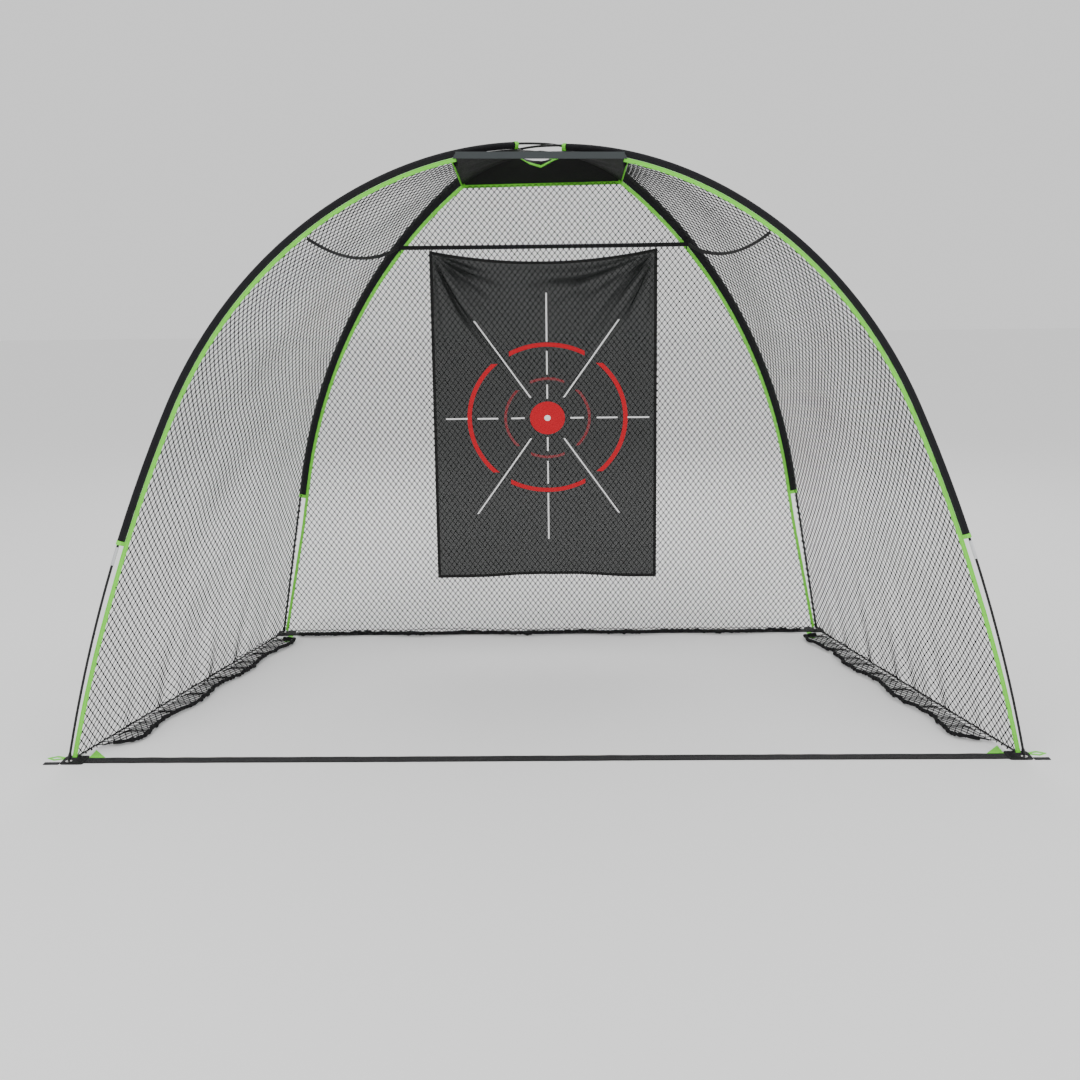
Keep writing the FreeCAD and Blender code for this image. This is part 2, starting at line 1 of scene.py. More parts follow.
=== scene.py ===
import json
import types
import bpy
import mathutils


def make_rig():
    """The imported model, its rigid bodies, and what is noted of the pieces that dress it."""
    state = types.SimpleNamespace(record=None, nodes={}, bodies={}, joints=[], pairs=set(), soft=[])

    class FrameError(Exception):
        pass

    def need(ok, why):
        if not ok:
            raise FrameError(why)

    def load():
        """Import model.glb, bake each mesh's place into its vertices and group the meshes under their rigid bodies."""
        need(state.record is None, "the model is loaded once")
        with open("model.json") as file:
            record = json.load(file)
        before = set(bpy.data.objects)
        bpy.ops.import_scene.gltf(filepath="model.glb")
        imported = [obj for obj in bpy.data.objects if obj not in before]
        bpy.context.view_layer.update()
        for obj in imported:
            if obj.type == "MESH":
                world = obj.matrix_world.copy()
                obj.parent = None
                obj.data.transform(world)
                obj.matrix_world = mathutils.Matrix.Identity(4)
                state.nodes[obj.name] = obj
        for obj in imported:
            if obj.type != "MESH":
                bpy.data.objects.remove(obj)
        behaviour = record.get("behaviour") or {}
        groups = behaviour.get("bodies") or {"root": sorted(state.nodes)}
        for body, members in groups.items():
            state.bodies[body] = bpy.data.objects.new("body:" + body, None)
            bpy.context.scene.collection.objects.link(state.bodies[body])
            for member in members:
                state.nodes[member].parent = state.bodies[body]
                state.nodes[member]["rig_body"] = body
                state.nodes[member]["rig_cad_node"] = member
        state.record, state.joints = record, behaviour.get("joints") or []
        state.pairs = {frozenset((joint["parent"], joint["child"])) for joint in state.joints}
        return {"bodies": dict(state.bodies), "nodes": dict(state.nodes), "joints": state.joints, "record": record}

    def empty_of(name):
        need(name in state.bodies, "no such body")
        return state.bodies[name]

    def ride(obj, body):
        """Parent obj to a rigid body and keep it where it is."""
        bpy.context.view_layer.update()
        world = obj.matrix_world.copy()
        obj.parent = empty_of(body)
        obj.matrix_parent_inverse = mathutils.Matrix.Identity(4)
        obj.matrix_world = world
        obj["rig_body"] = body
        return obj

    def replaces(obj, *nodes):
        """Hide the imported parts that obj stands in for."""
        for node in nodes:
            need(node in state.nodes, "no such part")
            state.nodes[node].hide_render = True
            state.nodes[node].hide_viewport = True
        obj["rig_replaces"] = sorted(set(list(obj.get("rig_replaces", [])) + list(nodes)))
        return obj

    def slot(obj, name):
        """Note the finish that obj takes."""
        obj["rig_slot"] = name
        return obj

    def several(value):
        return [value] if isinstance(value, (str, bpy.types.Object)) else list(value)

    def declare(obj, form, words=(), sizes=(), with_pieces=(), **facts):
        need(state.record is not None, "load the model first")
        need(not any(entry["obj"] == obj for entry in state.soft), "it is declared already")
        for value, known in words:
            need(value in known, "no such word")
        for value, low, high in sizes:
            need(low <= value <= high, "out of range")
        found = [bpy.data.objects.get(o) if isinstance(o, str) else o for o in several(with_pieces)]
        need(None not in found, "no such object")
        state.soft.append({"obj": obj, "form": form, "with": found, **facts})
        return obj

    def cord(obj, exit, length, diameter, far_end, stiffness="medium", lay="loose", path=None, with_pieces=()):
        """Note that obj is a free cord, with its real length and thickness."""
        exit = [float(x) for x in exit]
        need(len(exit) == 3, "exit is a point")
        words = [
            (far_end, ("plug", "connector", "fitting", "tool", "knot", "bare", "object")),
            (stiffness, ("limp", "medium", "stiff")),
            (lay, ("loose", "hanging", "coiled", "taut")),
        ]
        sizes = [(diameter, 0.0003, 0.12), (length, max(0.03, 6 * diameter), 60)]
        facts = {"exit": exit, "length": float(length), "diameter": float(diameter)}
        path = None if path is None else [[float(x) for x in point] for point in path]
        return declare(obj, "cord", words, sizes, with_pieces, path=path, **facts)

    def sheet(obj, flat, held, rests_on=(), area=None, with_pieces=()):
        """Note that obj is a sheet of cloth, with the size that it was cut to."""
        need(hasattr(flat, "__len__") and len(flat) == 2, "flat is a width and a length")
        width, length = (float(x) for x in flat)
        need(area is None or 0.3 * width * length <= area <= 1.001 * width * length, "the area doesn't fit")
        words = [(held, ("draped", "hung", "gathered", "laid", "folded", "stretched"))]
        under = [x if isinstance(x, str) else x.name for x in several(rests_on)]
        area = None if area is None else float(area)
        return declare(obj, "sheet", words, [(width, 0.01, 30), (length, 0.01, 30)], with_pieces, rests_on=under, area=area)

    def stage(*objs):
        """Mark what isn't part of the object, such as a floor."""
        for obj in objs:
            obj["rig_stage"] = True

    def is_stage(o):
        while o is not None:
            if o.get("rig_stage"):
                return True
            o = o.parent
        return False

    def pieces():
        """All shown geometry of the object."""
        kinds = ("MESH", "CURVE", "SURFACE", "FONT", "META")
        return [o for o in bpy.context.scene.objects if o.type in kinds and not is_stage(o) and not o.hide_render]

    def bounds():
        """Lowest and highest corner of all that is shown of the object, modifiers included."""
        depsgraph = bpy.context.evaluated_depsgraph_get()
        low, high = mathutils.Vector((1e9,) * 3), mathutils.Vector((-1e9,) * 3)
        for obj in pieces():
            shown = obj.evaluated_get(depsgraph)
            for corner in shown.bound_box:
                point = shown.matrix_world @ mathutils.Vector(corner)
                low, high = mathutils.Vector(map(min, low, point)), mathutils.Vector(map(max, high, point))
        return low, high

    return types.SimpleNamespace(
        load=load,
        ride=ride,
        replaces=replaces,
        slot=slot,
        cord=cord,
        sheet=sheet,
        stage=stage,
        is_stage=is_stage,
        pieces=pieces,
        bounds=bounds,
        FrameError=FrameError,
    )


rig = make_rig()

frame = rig.load()
import json
import math

import bpy
import numpy as np
from mathutils import Matrix, Vector

cad_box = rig.bounds()

# ---- the place it stands in -------------------------------------------------------------------
# The net stands on a plain pale floor that runs up into a pale backdrop, and a person of
# ordinary height looks at its open front from about four metres away.
CAMERA_PLACE = (0.090, -4.223, 1.595)
CAMERA_PITCH = math.radians(-11.38)
CAMERA_TURN = math.radians(-1.23)
CAMERA_ROLL = math.radians(-0.73)
CAMERA_LENS = 44.7

camera_data = bpy.data.cameras.new("camera")
camera_data.lens = CAMERA_LENS
camera_data.sensor_width = 36.0
camera = bpy.data.objects.new("camera", camera_data)
bpy.context.scene.collection.objects.link(camera)
ahead = Vector((math.sin(CAMERA_TURN) * math.cos(CAMERA_PITCH),
                math.cos(CAMERA_TURN) * math.cos(CAMERA_PITCH), math.sin(CAMERA_PITCH)))
level_right = Vector((math.cos(CAMERA_TURN), -math.sin(CAMERA_TURN), 0))
level_up = level_right.cross(ahead)
right = level_right * math.cos(CAMERA_ROLL) + level_up * math.sin(CAMERA_ROLL)
up = level_up * math.cos(CAMERA_ROLL) - level_right * math.sin(CAMERA_ROLL)
camera.matrix_world = Matrix.Translation(CAMERA_PLACE) @ Matrix((right, up, -ahead)).transposed().to_4x4()
bpy.context.scene.camera = camera


def plain_material(name, colour, roughness=0.6):
    """A material with one Principled shader; returns the material, its nodes, links and shader."""
    material = bpy.data.materials.new(name)
    material.use_nodes = True
    nodes, links = material.node_tree.nodes, material.node_tree.links
    shader = nodes["Principled BSDF"]
    shader.inputs["Base Color"].default_value = (*colour, 1.0)
    shader.inputs["Roughness"].default_value = roughness
    return material, nodes, links, shader


floor_mesh = bpy.data.meshes.new("floor")
floor_mesh.from_pydata([(-30, -30, 0), (30, -30, 0), (30, 30, 0), (-30, 30, 0)], [], [(0, 1, 2, 3)])
floor = bpy.data.objects.new("floor", floor_mesh)
bpy.context.scene.collection.objects.link(floor)
floor_mesh.materials.append(plain_material("pale_floor", (0.93, 0.93, 0.93), 0.75)[0])
floor.location.z = -0.0005
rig.stage(floor)

world = bpy.data.worlds.new("studio")
world.use_nodes = True
world.node_tree.nodes["Background"].inputs["Color"].default_value = (1.0, 1.0, 1.0, 1.0)
world.node_tree.nodes["Background"].inputs["Strength"].default_value = 1.0
bpy.context.scene.world = world
LIGHTS = {"key": ((-3.5, -4.5, 5.0), 190.0), "fill": ((4.5, -3.0, 4.0), 90.0), "back": ((0.5, 5.0, 4.5), 90.0)}
LIGHT_SIZE = 4.0
LIT_POINT = Vector((0, 0.8, 0.9))
for light_name, (place, power) in LIGHTS.items():
    lamp = bpy.data.lights.new(light_name, "AREA")
    lamp.size = LIGHT_SIZE
    lamp.energy = power
    light = bpy.data.objects.new(light_name, lamp)
    bpy.context.scene.collection.objects.link(light)
    light.location = place
    light.rotation_euler = (LIT_POINT - Vector(place)).to_track_quat("-Z", "Y").to_euler()

# ---- poles, ferrules and tips -----------------------------------------------------------------
# Two long poles of pultruded fibreglass, each of eight sections pushed together in bright steel
# ferrules, cross at the crown. Each ends in a moulded tip that stands in an eyelet on the floor.


def socket(group, kind, name, direction, default=None):
    made = group.interface.new_socket(name, in_out=direction, socket_type=kind)
    if default is not None:
        made.default_value = default
    return made


def new_group(name, inputs, outputs):
    """A shader node group with named sockets; returns the group, its nodes and links, and both ends."""
    group = bpy.data.node_groups.new(name, "ShaderNodeTree")
    for kind, title, default in inputs:
        socket(group, kind, title, "INPUT", default)
    for kind, title in outputs:
        socket(group, kind, title, "OUTPUT")
    start, end = group.nodes.new("NodeGroupInput"), group.nodes.new("NodeGroupOutput")
    return group, group.nodes, group.links, start.outputs, end.inputs


def value_of(nodes, links, operation, first, second=None, third=None):
    """One Math node: each operand is a number or the socket that it comes from."""
    node = nodes.new("ShaderNodeMath")
    node.operation = operation
    for slot, operand in zip(node.inputs, (first, second, third)):
        if operand is None:
            continue
        if isinstance(operand, (int, float)):
            slot.default_value = operand
        else:
            links.new(operand, slot)
    return node.outputs[0]


def shade_group():
    """Slow patches of lighter and darker colour and of gloss, as on anything that has been handled."""
    group, nodes, links, given, out = new_group(
        "handled_surface",
        [("NodeSocketColor", "Colour", (0.5, 0.5, 0.5, 1)), ("NodeSocketFloat", "Patch", 6.0),
         ("NodeSocketFloat", "Strength", 0.2), ("NodeSocketFloat", "Roughness", 0.5)],
        [("NodeSocketColor", "Colour"), ("NodeSocketFloat", "Roughness")])
    place = nodes.new("ShaderNodeTexCoord")
    noise = nodes.new("ShaderNodeTexNoise")
    noise.inputs["Detail"].default_value = 4.0
    links.new(place.outputs["Object"], noise.inputs["Vector"])
    links.new(given["Patch"], noise.inputs["Scale"])
    centred = value_of(nodes, links, "SUBTRACT", noise.outputs["Fac"], 0.5)
    swing = value_of(nodes, links, "MULTIPLY", centred, given["Strength"])
    tint = nodes.new("ShaderNodeHueSaturation")
    links.new(given["Colour"], tint.inputs["Color"])
    links.new(value_of(nodes, links, "MULTIPLY_ADD", swing, 2.0, 1.0), tint.inputs["Value"])
    links.new(tint.outputs["Color"], out["Colour"])
    links.new(value_of(nodes, links, "ADD", given["Roughness"], swing), out["Roughness"])
    return group


HANDLED = shade_group()


def add_handled(nodes, links, shader, colour, patch, strength, roughness):
    """Places the handled-surface group in a material and feeds colour and roughness from it."""
    node = nodes.new("ShaderNodeGroup")
    node.node_tree = HANDLED
    node.inputs["Colour"].default_value = (*colour, 1.0)
    node.inputs["Patch"].default_value = patch
    node.inputs["Strength"].default_value = strength
    node.inputs["Roughness"].default_value = roughness
    links.new(node.outputs["Colour"], shader.inputs["Base Color"])
    links.new(node.outputs["Roughness"], shader.inputs["Roughness"])
    return node


def add_bump(nodes, links, shader, height, strength, distance):
    bump = nodes.new("ShaderNodeBump")
    bump.inputs["Strength"].default_value = strength
    bump.inputs["Distance"].default_value = distance
    links.new(height, bump.inputs["Height"])
    links.new(bump.outputs["Normal"], shader.inputs["Normal"])


def fine_noise(nodes, links, scale, detail=3.0, stretch=(1, 1, 1)):
    place = nodes.new("ShaderNodeTexCoord")
    mapping = nodes.new("ShaderNodeMapping")
    mapping.inputs["Scale"].default_value = stretch
    noise = nodes.new("ShaderNodeTexNoise")
    noise.inputs["Scale"].default_value = scale
    noise.inputs["Detail"].default_value = detail
    links.new(place.outputs["Object"], mapping.inputs["Vector"])
    links.new(mapping.outputs["Vector"], noise.inputs["Vector"])
    return noise.outputs["Fac"]


def hard_material(name, colour, roughness, metallic=0.0, grain=900.0, patch=8.0, strength=0.15, gloss=0.5):
    """Moulded, drawn or rolled goods: fine grain in the bump and slow patches in the gloss."""
    material, nodes, links, shader = plain_material(name, colour, roughness)
    shader.inputs["Metallic"].default_value = metallic
    shader.inputs["Specular IOR Level"].default_value = gloss
    add_handled(nodes, links, shader, colour, patch, strength, roughness)
    add_bump(nodes, links, shader, fine_noise(nodes, links, grain), 0.25, 0.0004)
    return material


fibreglass = hard_material("black_fibreglass", (0.008, 0.008, 0.009), 0.42, gloss=0.3, grain=700.0)
ferrule_steel = hard_material("ferrule_steel", (0.72, 0.73, 0.75), 0.27, metallic=1.0, grain=1500.0)
nylon = hard_material("black_nylon", (0.010, 0.010, 0.011), 0.45, gloss=0.3)
eyelet_steel = hard_material("eyelet_steel", (0.62, 0.62, 0.60), 0.33, metallic=1.0)
elastic = hard_material("shock_cord_braid", (0.03, 0.03, 0.03), 0.8)


def finish_node(node, material):
    part = frame["nodes"][node]
    for material_slot in part.material_slots:
        material_slot.material = material


for pole in ("left", "right"):
    for number in range(1, 9):
        finish_node("%s_pole_section_%d" % (pole, number), fibreglass)
finish_node("pole_ferrules", ferrule_steel)
finish_node("pole_tips", nylon)
finish_node("grommets", eyelet_steel)
finish_node("shock_cords", elastic)
finish_node("strap_toggles", nylon)
finish_node("target_ties", nylon)

# ---- sleeves ----------------------------------------------------------------------------------
# Each half of a pole runs in a sleeve of black polyester, a folded strip sewn shut along the
# inside of the arch. The pole pulls it taut, with small puckers along the seam and at its ends.
FRONT_WIDTH, REAR_WIDTH, BASE_DEPTH, CROWN_HEIGHT = 3.175, 2.400, 1.620, 2.044
POLE_OFFSET = 0.009
FOOT_HEIGHT = 0.002
FRONT_ARCH = (0.050, math.radians(90 - 13.0), math.radians(64.2))
REAR_ARCH = (0.728, math.radians(90 - 12.3), math.radians(33.8))
CROSSING_Y = BASE_DEPTH * FRONT_WIDTH / (FRONT_WIDTH + REAR_WIDTH)
SLEEVE_SIZES = {"front": (0.026, 0.018), "rear": (0.036, 0.019)}
SLEEVE_RIM = 0.007
SLEEVE_FEET = {"front": 0.722, "rear": 0.640}
CROWN_GAP = 0.100


def half_runs(run, rise, leg, start, bend):
    """Straight leg, wide arc and tight arc of half an arch, as (length, radius or None)."""
    across, climb = run - leg * math.cos(start), rise - leg * math.sin(start)
    shape = np.array([[math.sin(start) - math.sin(bend), math.sin(bend)],
                      [math.cos(bend) - math.cos(start), 1 - math.cos(bend)]])
    wide, tight = np.linalg.solve(shape, (across, climb))
    return [(leg, None), (wide * (start - bend), wide), (tight * bend, tight)]


def foot(end, side):
    width, depth = (FRONT_WIDTH, 0.0) if end == "front" else (REAR_WIDTH, BASE_DEPTH)
    return np.array((side * width / 2, depth, 0.0))


class Arch:
    """The centre line of half a pole, measured from the foot at one corner up to the crown."""

    def __init__(self, end, side):
        self.end, self.side = end, side
        pole_side = side if end == "front" else -side
        crown = np.array((0.0, CROSSING_Y, 0.0))
        self.start = foot(end, side)
        reach = crown - self.start
        run = float(np.linalg.norm(reach))
        self.along = reach / run
        rise = CROWN_HEIGHT - FOOT_HEIGHT + (POLE_OFFSET if pole_side < 0 else 0.0)
        leg, self.heading, bend = FRONT_ARCH if end == "front" else REAR_ARCH
        self.runs = half_runs(run, rise, leg, self.heading, bend)
        self.length = sum(length for length, radius in self.runs)
        self.table = np.linspace(0.0, self.length, 4000)
        self.heights = self.at(self.table)[0][:, 2]

    def at(self, lengths):
        """Points, directions and inward normals: each run adds its own straight or round step."""
        lengths = np.asarray(lengths, float)
        across, climb = np.zeros_like(lengths), np.full_like(lengths, FOOT_HEIGHT)
        heading, done = np.full_like(lengths, self.heading), 0.0
        for length, radius in self.runs:
            step = np.clip(lengths - done, 0.0, length)
            if radius is None:
                across += step * np.cos(heading)
                climb += step * np.sin(heading)
            else:
                turned = heading - step / radius
                across += radius * (np.sin(heading) - np.sin(turned))
                climb += radius * (np.cos(turned) - np.cos(heading))
                heading = turned
            done += length
        level = np.array((0.0, 0.0, 1.0))
        points = self.start + across[:, None] * self.along + climb[:, None] * level
        directions = np.cos(heading)[:, None] * self.along + np.sin(heading)[:, None] * level
        inward = np.sin(heading)[:, None] * self.along - np.cos(heading)[:, None] * level
        return points, directions, inward

    def length_at(self, height):
        return float(np.interp(height, self.heights, self.table))

    def length_at_half_width(self, half_width):
        """Where the centre line is this far from the middle of the net."""
        across = np.abs(self.at(self.table)[0][:, 0])
        return float(np.interp(-half_width, -across, self.table))


CORNERS = [(end, side) for end in ("front", "rear") for side in (-1, 1)]
SIDE_NAMES = {-1: "left", 1: "right"}
arches = {corner: Arch(*corner) for corner in CORNERS}


def put_mesh(name, points, faces, uvs=None, sharp=None):
    """A mesh object from arrays: points (n, 3), faces (m, 3 or 4), and one uv for each face corner."""
    mesh = bpy.data.meshes.new(name)
    count, corners = faces.shape
    mesh.vertices.add(len(points))
    mesh.vertices.foreach_set("co", np.ascontiguousarray(points, dtype=np.float32).ravel())
    mesh.loops.add(count * corners)
    mesh.loops.foreach_set("vertex_index", np.ascontiguousarray(faces, dtype=np.int32).ravel())
    mesh.polygons.add(count)
    mesh.polygons.foreach_set("loop_start", np.arange(0, count * corners, corners, dtype=np.int32))
    mesh.polygons.foreach_set("use_smooth", np.ones(count, dtype=bool))
    if uvs is not None:
        layer = mesh.uv_layers.new(name="flat")
        layer.data.foreach_set("uv", np.ascontiguousarray(uvs, dtype=np.float32).ravel())
    mesh.update(calc_edges=True)
    mesh.validate()
    if sharp is not None:
        mesh.set_sharp_from_angle(angle=math.radians(sharp))
    piece = bpy.data.objects.new(name, mesh)
    bpy.context.scene.collection.objects.link(piece)
    return piece


def grid_faces(rows, columns, round_columns=False):
    """Quads of a grid in row-major order; with round_columns the last column joins the first."""
    last = columns if round_columns else columns - 1
    i, j = np.meshgrid(np.arange(rows - 1), np.arange(last), indexing="ij")
    beside, here, above = (j + 1) % columns, i * columns, (i + 1) * columns
    return np.stack((here + j, here + beside, above + beside, above + j), axis=-1).reshape(-1, 4)


def running_length(points):
    """Distance along a row of points, starting at 0."""
    return np.concatenate(([0.0], np.cumsum(np.linalg.norm(np.diff(points, axis=0), axis=1))))


def surface_normals(grid, closed=False):
    """Unit normals of a grid of points (n, m, 3): along the rows crossed with along the columns."""
    rows = np.gradient(grid, axis=0)
    if closed:
        columns = np.roll(grid, -1, axis=1) - np.roll(grid, 1, axis=1)
    else:
        columns = np.gradient(grid, axis=1)
    normals = np.cross(rows, columns)
    return normals / np.maximum(np.linalg.norm(normals, axis=2, keepdims=True), 1e-12)


def shell_mesh(name, grid, thickness, closed=False, flat=None, sharp=50):
    """Cloth of some thickness about a grid of points (n, m, 3), closed all round by its cut edges.

    The two faces are the grid moved half a thickness each way along its normals. closed joins the
    last column to the first. flat is the map (n, m, 2) in metres; without it, it is measured.
    """
    count, columns = grid.shape[:2]
    lift = surface_normals(grid, closed) * (thickness / 2)
    points = np.concatenate(((grid + lift).reshape(-1, 3), (grid - lift).reshape(-1, 3)))
    face = grid_faces(count, columns, round_columns=closed)
    back = count * columns
    walls = []
    j = np.arange(columns if closed else columns - 1)
    beside = (j + 1) % columns
    end = (count - 1) * columns
    walls.append(np.stack((beside, j, j + back, beside + back), axis=-1))
    walls.append(np.stack((end + j, end + beside, end + beside + back, end + j + back), axis=-1))
    if not closed:
        i = np.arange(count - 1) * columns
        last = i + columns - 1
        walls.append(np.stack((i, i + columns, i + columns + back, i + back), axis=-1))
        walls.append(np.stack((last + columns, last, last + back, last + columns + back), axis=-1))
    faces = np.concatenate([face, face[:, ::-1] + back] + walls)[:, ::-1]
    if flat is None:
        middle = grid[:, columns // 2]
        row = np.concatenate((grid[0], grid[0][:1])) if closed else grid[0]
        along, around = running_length(middle), running_length(row)
        flat = np.stack(np.broadcast_arrays(along[:, None], around[None, :columns]), axis=-1)
    corner_flat = np.concatenate((flat.reshape(-1, 2), flat.reshape(-1, 2)))[faces]
    if closed:
        widest = flat[..., 1].max()
        wrapped = corner_flat[..., 1].max(axis=1) - corner_flat[..., 1].min(axis=1) > 0.5 * widest
        low = corner_flat[..., 1] < 0.25 * widest
        corner_flat[..., 1] += np.where(wrapped[:, None] & low, widest * columns / (columns - 1), 0.0)
    return put_mesh(name, points, faces, corner_flat, sharp)


def finish_piece(piece, material, material_slot, body, *nodes):
    """Gives a piece its material and slot, lets it ride on a body and stand for CAD nodes."""
    piece.data.materials.append(material)
    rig.slot(piece, material_slot)
    if nodes:
        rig.replaces(piece, *nodes)
    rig.ride(piece, body)
    return piece


CLOTH_GLOSS = 0.18


def thread_material(name, colour, roughness):
    """A plain material with the low gloss of thread."""
    material, nodes, links, shader = plain_material(name, colour, roughness)
    shader.inputs["Specular IOR Level"].default_value = CLOTH_GLOSS
    return material, nodes, links, shader


def flat_map(nodes, links):
    """The outputs X and Y of a piece's flat map, which is in metres."""
    flat = nodes.new("ShaderNodeUVMap")
    flat.uv_map = "flat"
    split = nodes.new("ShaderNodeSeparateXYZ")
    links.new(flat.outputs["UV"], split.inputs["Vector"])
    return split.outputs


def mix_in(nodes, links, mask, under, over):
    """The colour under with the fixed colour over laid on it where the mask is 1."""
    mix = nodes.new("ShaderNodeMix")
    mix.data_type = "RGBA"
    links.new(mask, mix.inputs["Factor"])
    links.new(under, mix.inputs["A"])
    mix.inputs["B"].default_value = (*over, 1.0)
    return mix.outputs["Result"]


def weave_group():
    """The height of over-and-under threads, from a flat map in metres."""
    group, nodes, links, given, out = new_group(
        "woven_threads",
        [("NodeSocketFloat", "Warp pitch", 0.0012), ("NodeSocketFloat", "Weft pitch", 0.0012)],
        [("NodeSocketFloat", "Height")])
    flat = flat_map(nodes, links)
    waves = []
    for axis, pitch in (("X", "Warp pitch"), ("Y", "Weft pitch")):
        turns = value_of(nodes, links, "DIVIDE", flat[axis], given[pitch])
        waves.append(value_of(nodes, links, "SINE", value_of(nodes, links, "MULTIPLY", turns, 2 * math.pi)))
    links.new(value_of(nodes, links, "MULTIPLY", waves[0], waves[1]), out["Height"])
    return group


WEAVE = weave_group()


def place_weave(nodes, warp_pitch, weft_pitch):
    weave = nodes.new("ShaderNodeGroup")
    weave.node_tree = WEAVE
    weave.inputs["Warp pitch"].default_value = warp_pitch
    weave.inputs["Weft pitch"].default_value = weft_pitch
    return weave.outputs["Height"]


def cloth_material(name, colour, roughness, pitches, sheen=0.05, bump=0.35, depth=0.0005, patch=5.0,
                   strength=0.12):
    """Woven goods: threads in the bump, slow patches of colour, and the soft sheen of fibre."""
    material, nodes, links, shader = thread_material(name, colour, roughness)
    shader.inputs["Sheen Weight"].default_value = sheen
    shader.inputs["Sheen Roughness"].default_value = 0.5
    add_handled(nodes, links, shader, colour, patch, strength, roughness)
    weave = place_weave(nodes, *pitches)
    wrinkle = fine_noise(nodes, links, 60.0, 4.0)
    height = value_of(nodes, links, "MULTIPLY_ADD", weave, 0.4, wrinkle)
    add_bump(nodes, links, shader, height, bump, depth)
    return material


sleeve_cloth = cloth_material("black_sleeve_polyester", (0.008, 0.008, 0.010), 0.62, (0.0011, 0.0011),
                              bump=0.5, depth=0.0015)


def smooth_noise(places, seed, waves=5, low=1.0, high=4.0):
    """A repeatable gentle wander from -1 to 1: a few sines of random pitch and phase, added up."""
    generator = np.random.default_rng(seed)
    pitches = generator.uniform(low, high, waves)
    phases = generator.uniform(0.0, 2 * math.pi, waves)
    return np.sin(np.asarray(places)[..., None] * pitches + phases).sum(axis=-1) / math.sqrt(waves) / 1.6


def sleeve_rings(corner, lengths, sides, grown=0.0):
    """Ovals along the arch with the pole in their outer edge and the seam pinched flat at the inner one.

    Across the arch the oval is (cos a, sin a) times its half width and half depth; the depth is
    narrowed towards the seam, and two gentle wanders along the sleeve pucker and slacken it.
    """
    width, depth = SLEEVE_SIZES[corner[0]]
    points, directions, inward = arches[corner].at(lengths)
    across = np.cross(directions, inward)
    turn = np.linspace(0.0, 2 * math.pi, sides, endpoint=False)
    radial, lateral = np.cos(turn), np.sin(turn)
    fullness = 0.30 + 0.70 * np.clip((1 - radial) * 0.8, 0.0, 1.0) ** 0.7
    seed = 11 + CORNERS.index(corner)
    pucker = smooth_noise(lengths * 70.0, seed)[:, None] * np.cos(turn * 2 + 0.4)[None] * 0.0006
    slack = smooth_noise(lengths * 9.0, seed + 40)[:, None] * np.sin(turn)[None] * 0.0010
    middle = points + inward * (width / 2 - SLEEVE_RIM)
    out = inward[:, None] * (radial * (width / 2 - 0.0006 + grown))[None, :, None]
    side = across[:, None] * ((lateral * (fullness * depth / 2 + grown))[None] + pucker + slack)[..., None]
    return middle[:, None] + out + side


for corner in CORNERS:
    end, side = corner
    arch = arches[corner]
    start, stop = arch.length_at(SLEEVE_FEET[end]), arch.length - CROWN_GAP
    lengths = np.linspace(start, stop, 620)
    rings = sleeve_rings(corner, lengths, 22)
    sleeve = shell_mesh("%s_%s_sleeve_cloth" % (end, SIDE_NAMES[side]), rings, 0.0008, closed=True)
    finish_piece(sleeve, sleeve_cloth, "black_polyester", "frame", "%s_%s_sleeve" % (end, SIDE_NAMES[side]))

# ---- green edging tape ------------------------------------------------------------------------
# A lime green woven tape is folded over the edge of each net and stitched along the inside of
# the sleeve. Below the sleeve it goes on alone down to the foot, a little inside the bare pole.
TAPE_WIDTH, TAPE_THICKNESS = 0.015, 0.0016
NET_TAPER, SMALLEST_INSET = 0.8, 0.009
ROOF_HALF_WIDTHS = {"front": 0.318, "rear": 0.318}
NET_BELOW_ROOF = 0.014
CUFF_WIDTH = 0.014
TAPE_TOP = 1.011
LIME = (0.20, 0.80, 0.06)


def ribbon_grid(centres, across, width, columns=4):
    """A flat ribbon: points spread evenly across the width of a line of centres."""
    spread = np.linspace(-width / 2, width / 2, columns)
    return centres[:, None] + across[:, None] * spread[None, :, None]


def taped_material(name, colour, width):
    """Woven tape: fine cross ribs, a darker thread line of stitches near each edge."""
    material, nodes, links, shader = thread_material(name, colour, 0.7)
    flat = flat_map(nodes, links)
    rib_pitch, stitch_pitch = 0.0014, 0.0042
    turn = value_of(nodes, links, "MULTIPLY", flat["X"], 2 * math.pi / rib_pitch)
    rib = value_of(nodes, links, "SINE", turn)
    stitches = value_of(nodes, links, "DIVIDE", flat["X"], stitch_pitch)
    dash = value_of(nodes, links, "GREATER_THAN", value_of(nodes, links, "FRACT", stitches), 0.35)
    across = value_of(nodes, links, "PINGPONG", flat["Y"], width / 2)
    line = value_of(nodes, links, "COMPARE", across, width * 0.22, 0.0005)
    stitch = value_of(nodes, links, "MULTIPLY", dash, line)
    handled = add_handled(nodes, links, shader, colour, 9.0, 0.18, 0.7)
    thread = [channel * 0.55 for channel in colour]
    mixed = mix_in(nodes, links, stitch, handled.outputs["Colour"], thread)
    links.new(mixed, shader.inputs["Base Color"])
    add_bump(nodes, links, shader, value_of(nodes, links, "MULTIPLY_ADD", stitch, -2.0, rib), 0.35, 0.0005)
    return material


green_tape = taped_material("lime_edging_tape", LIME, TAPE_WIDTH)


def sleeve_reach(end):
    return SLEEVE_SIZES[end][0] - SLEEVE_RIM


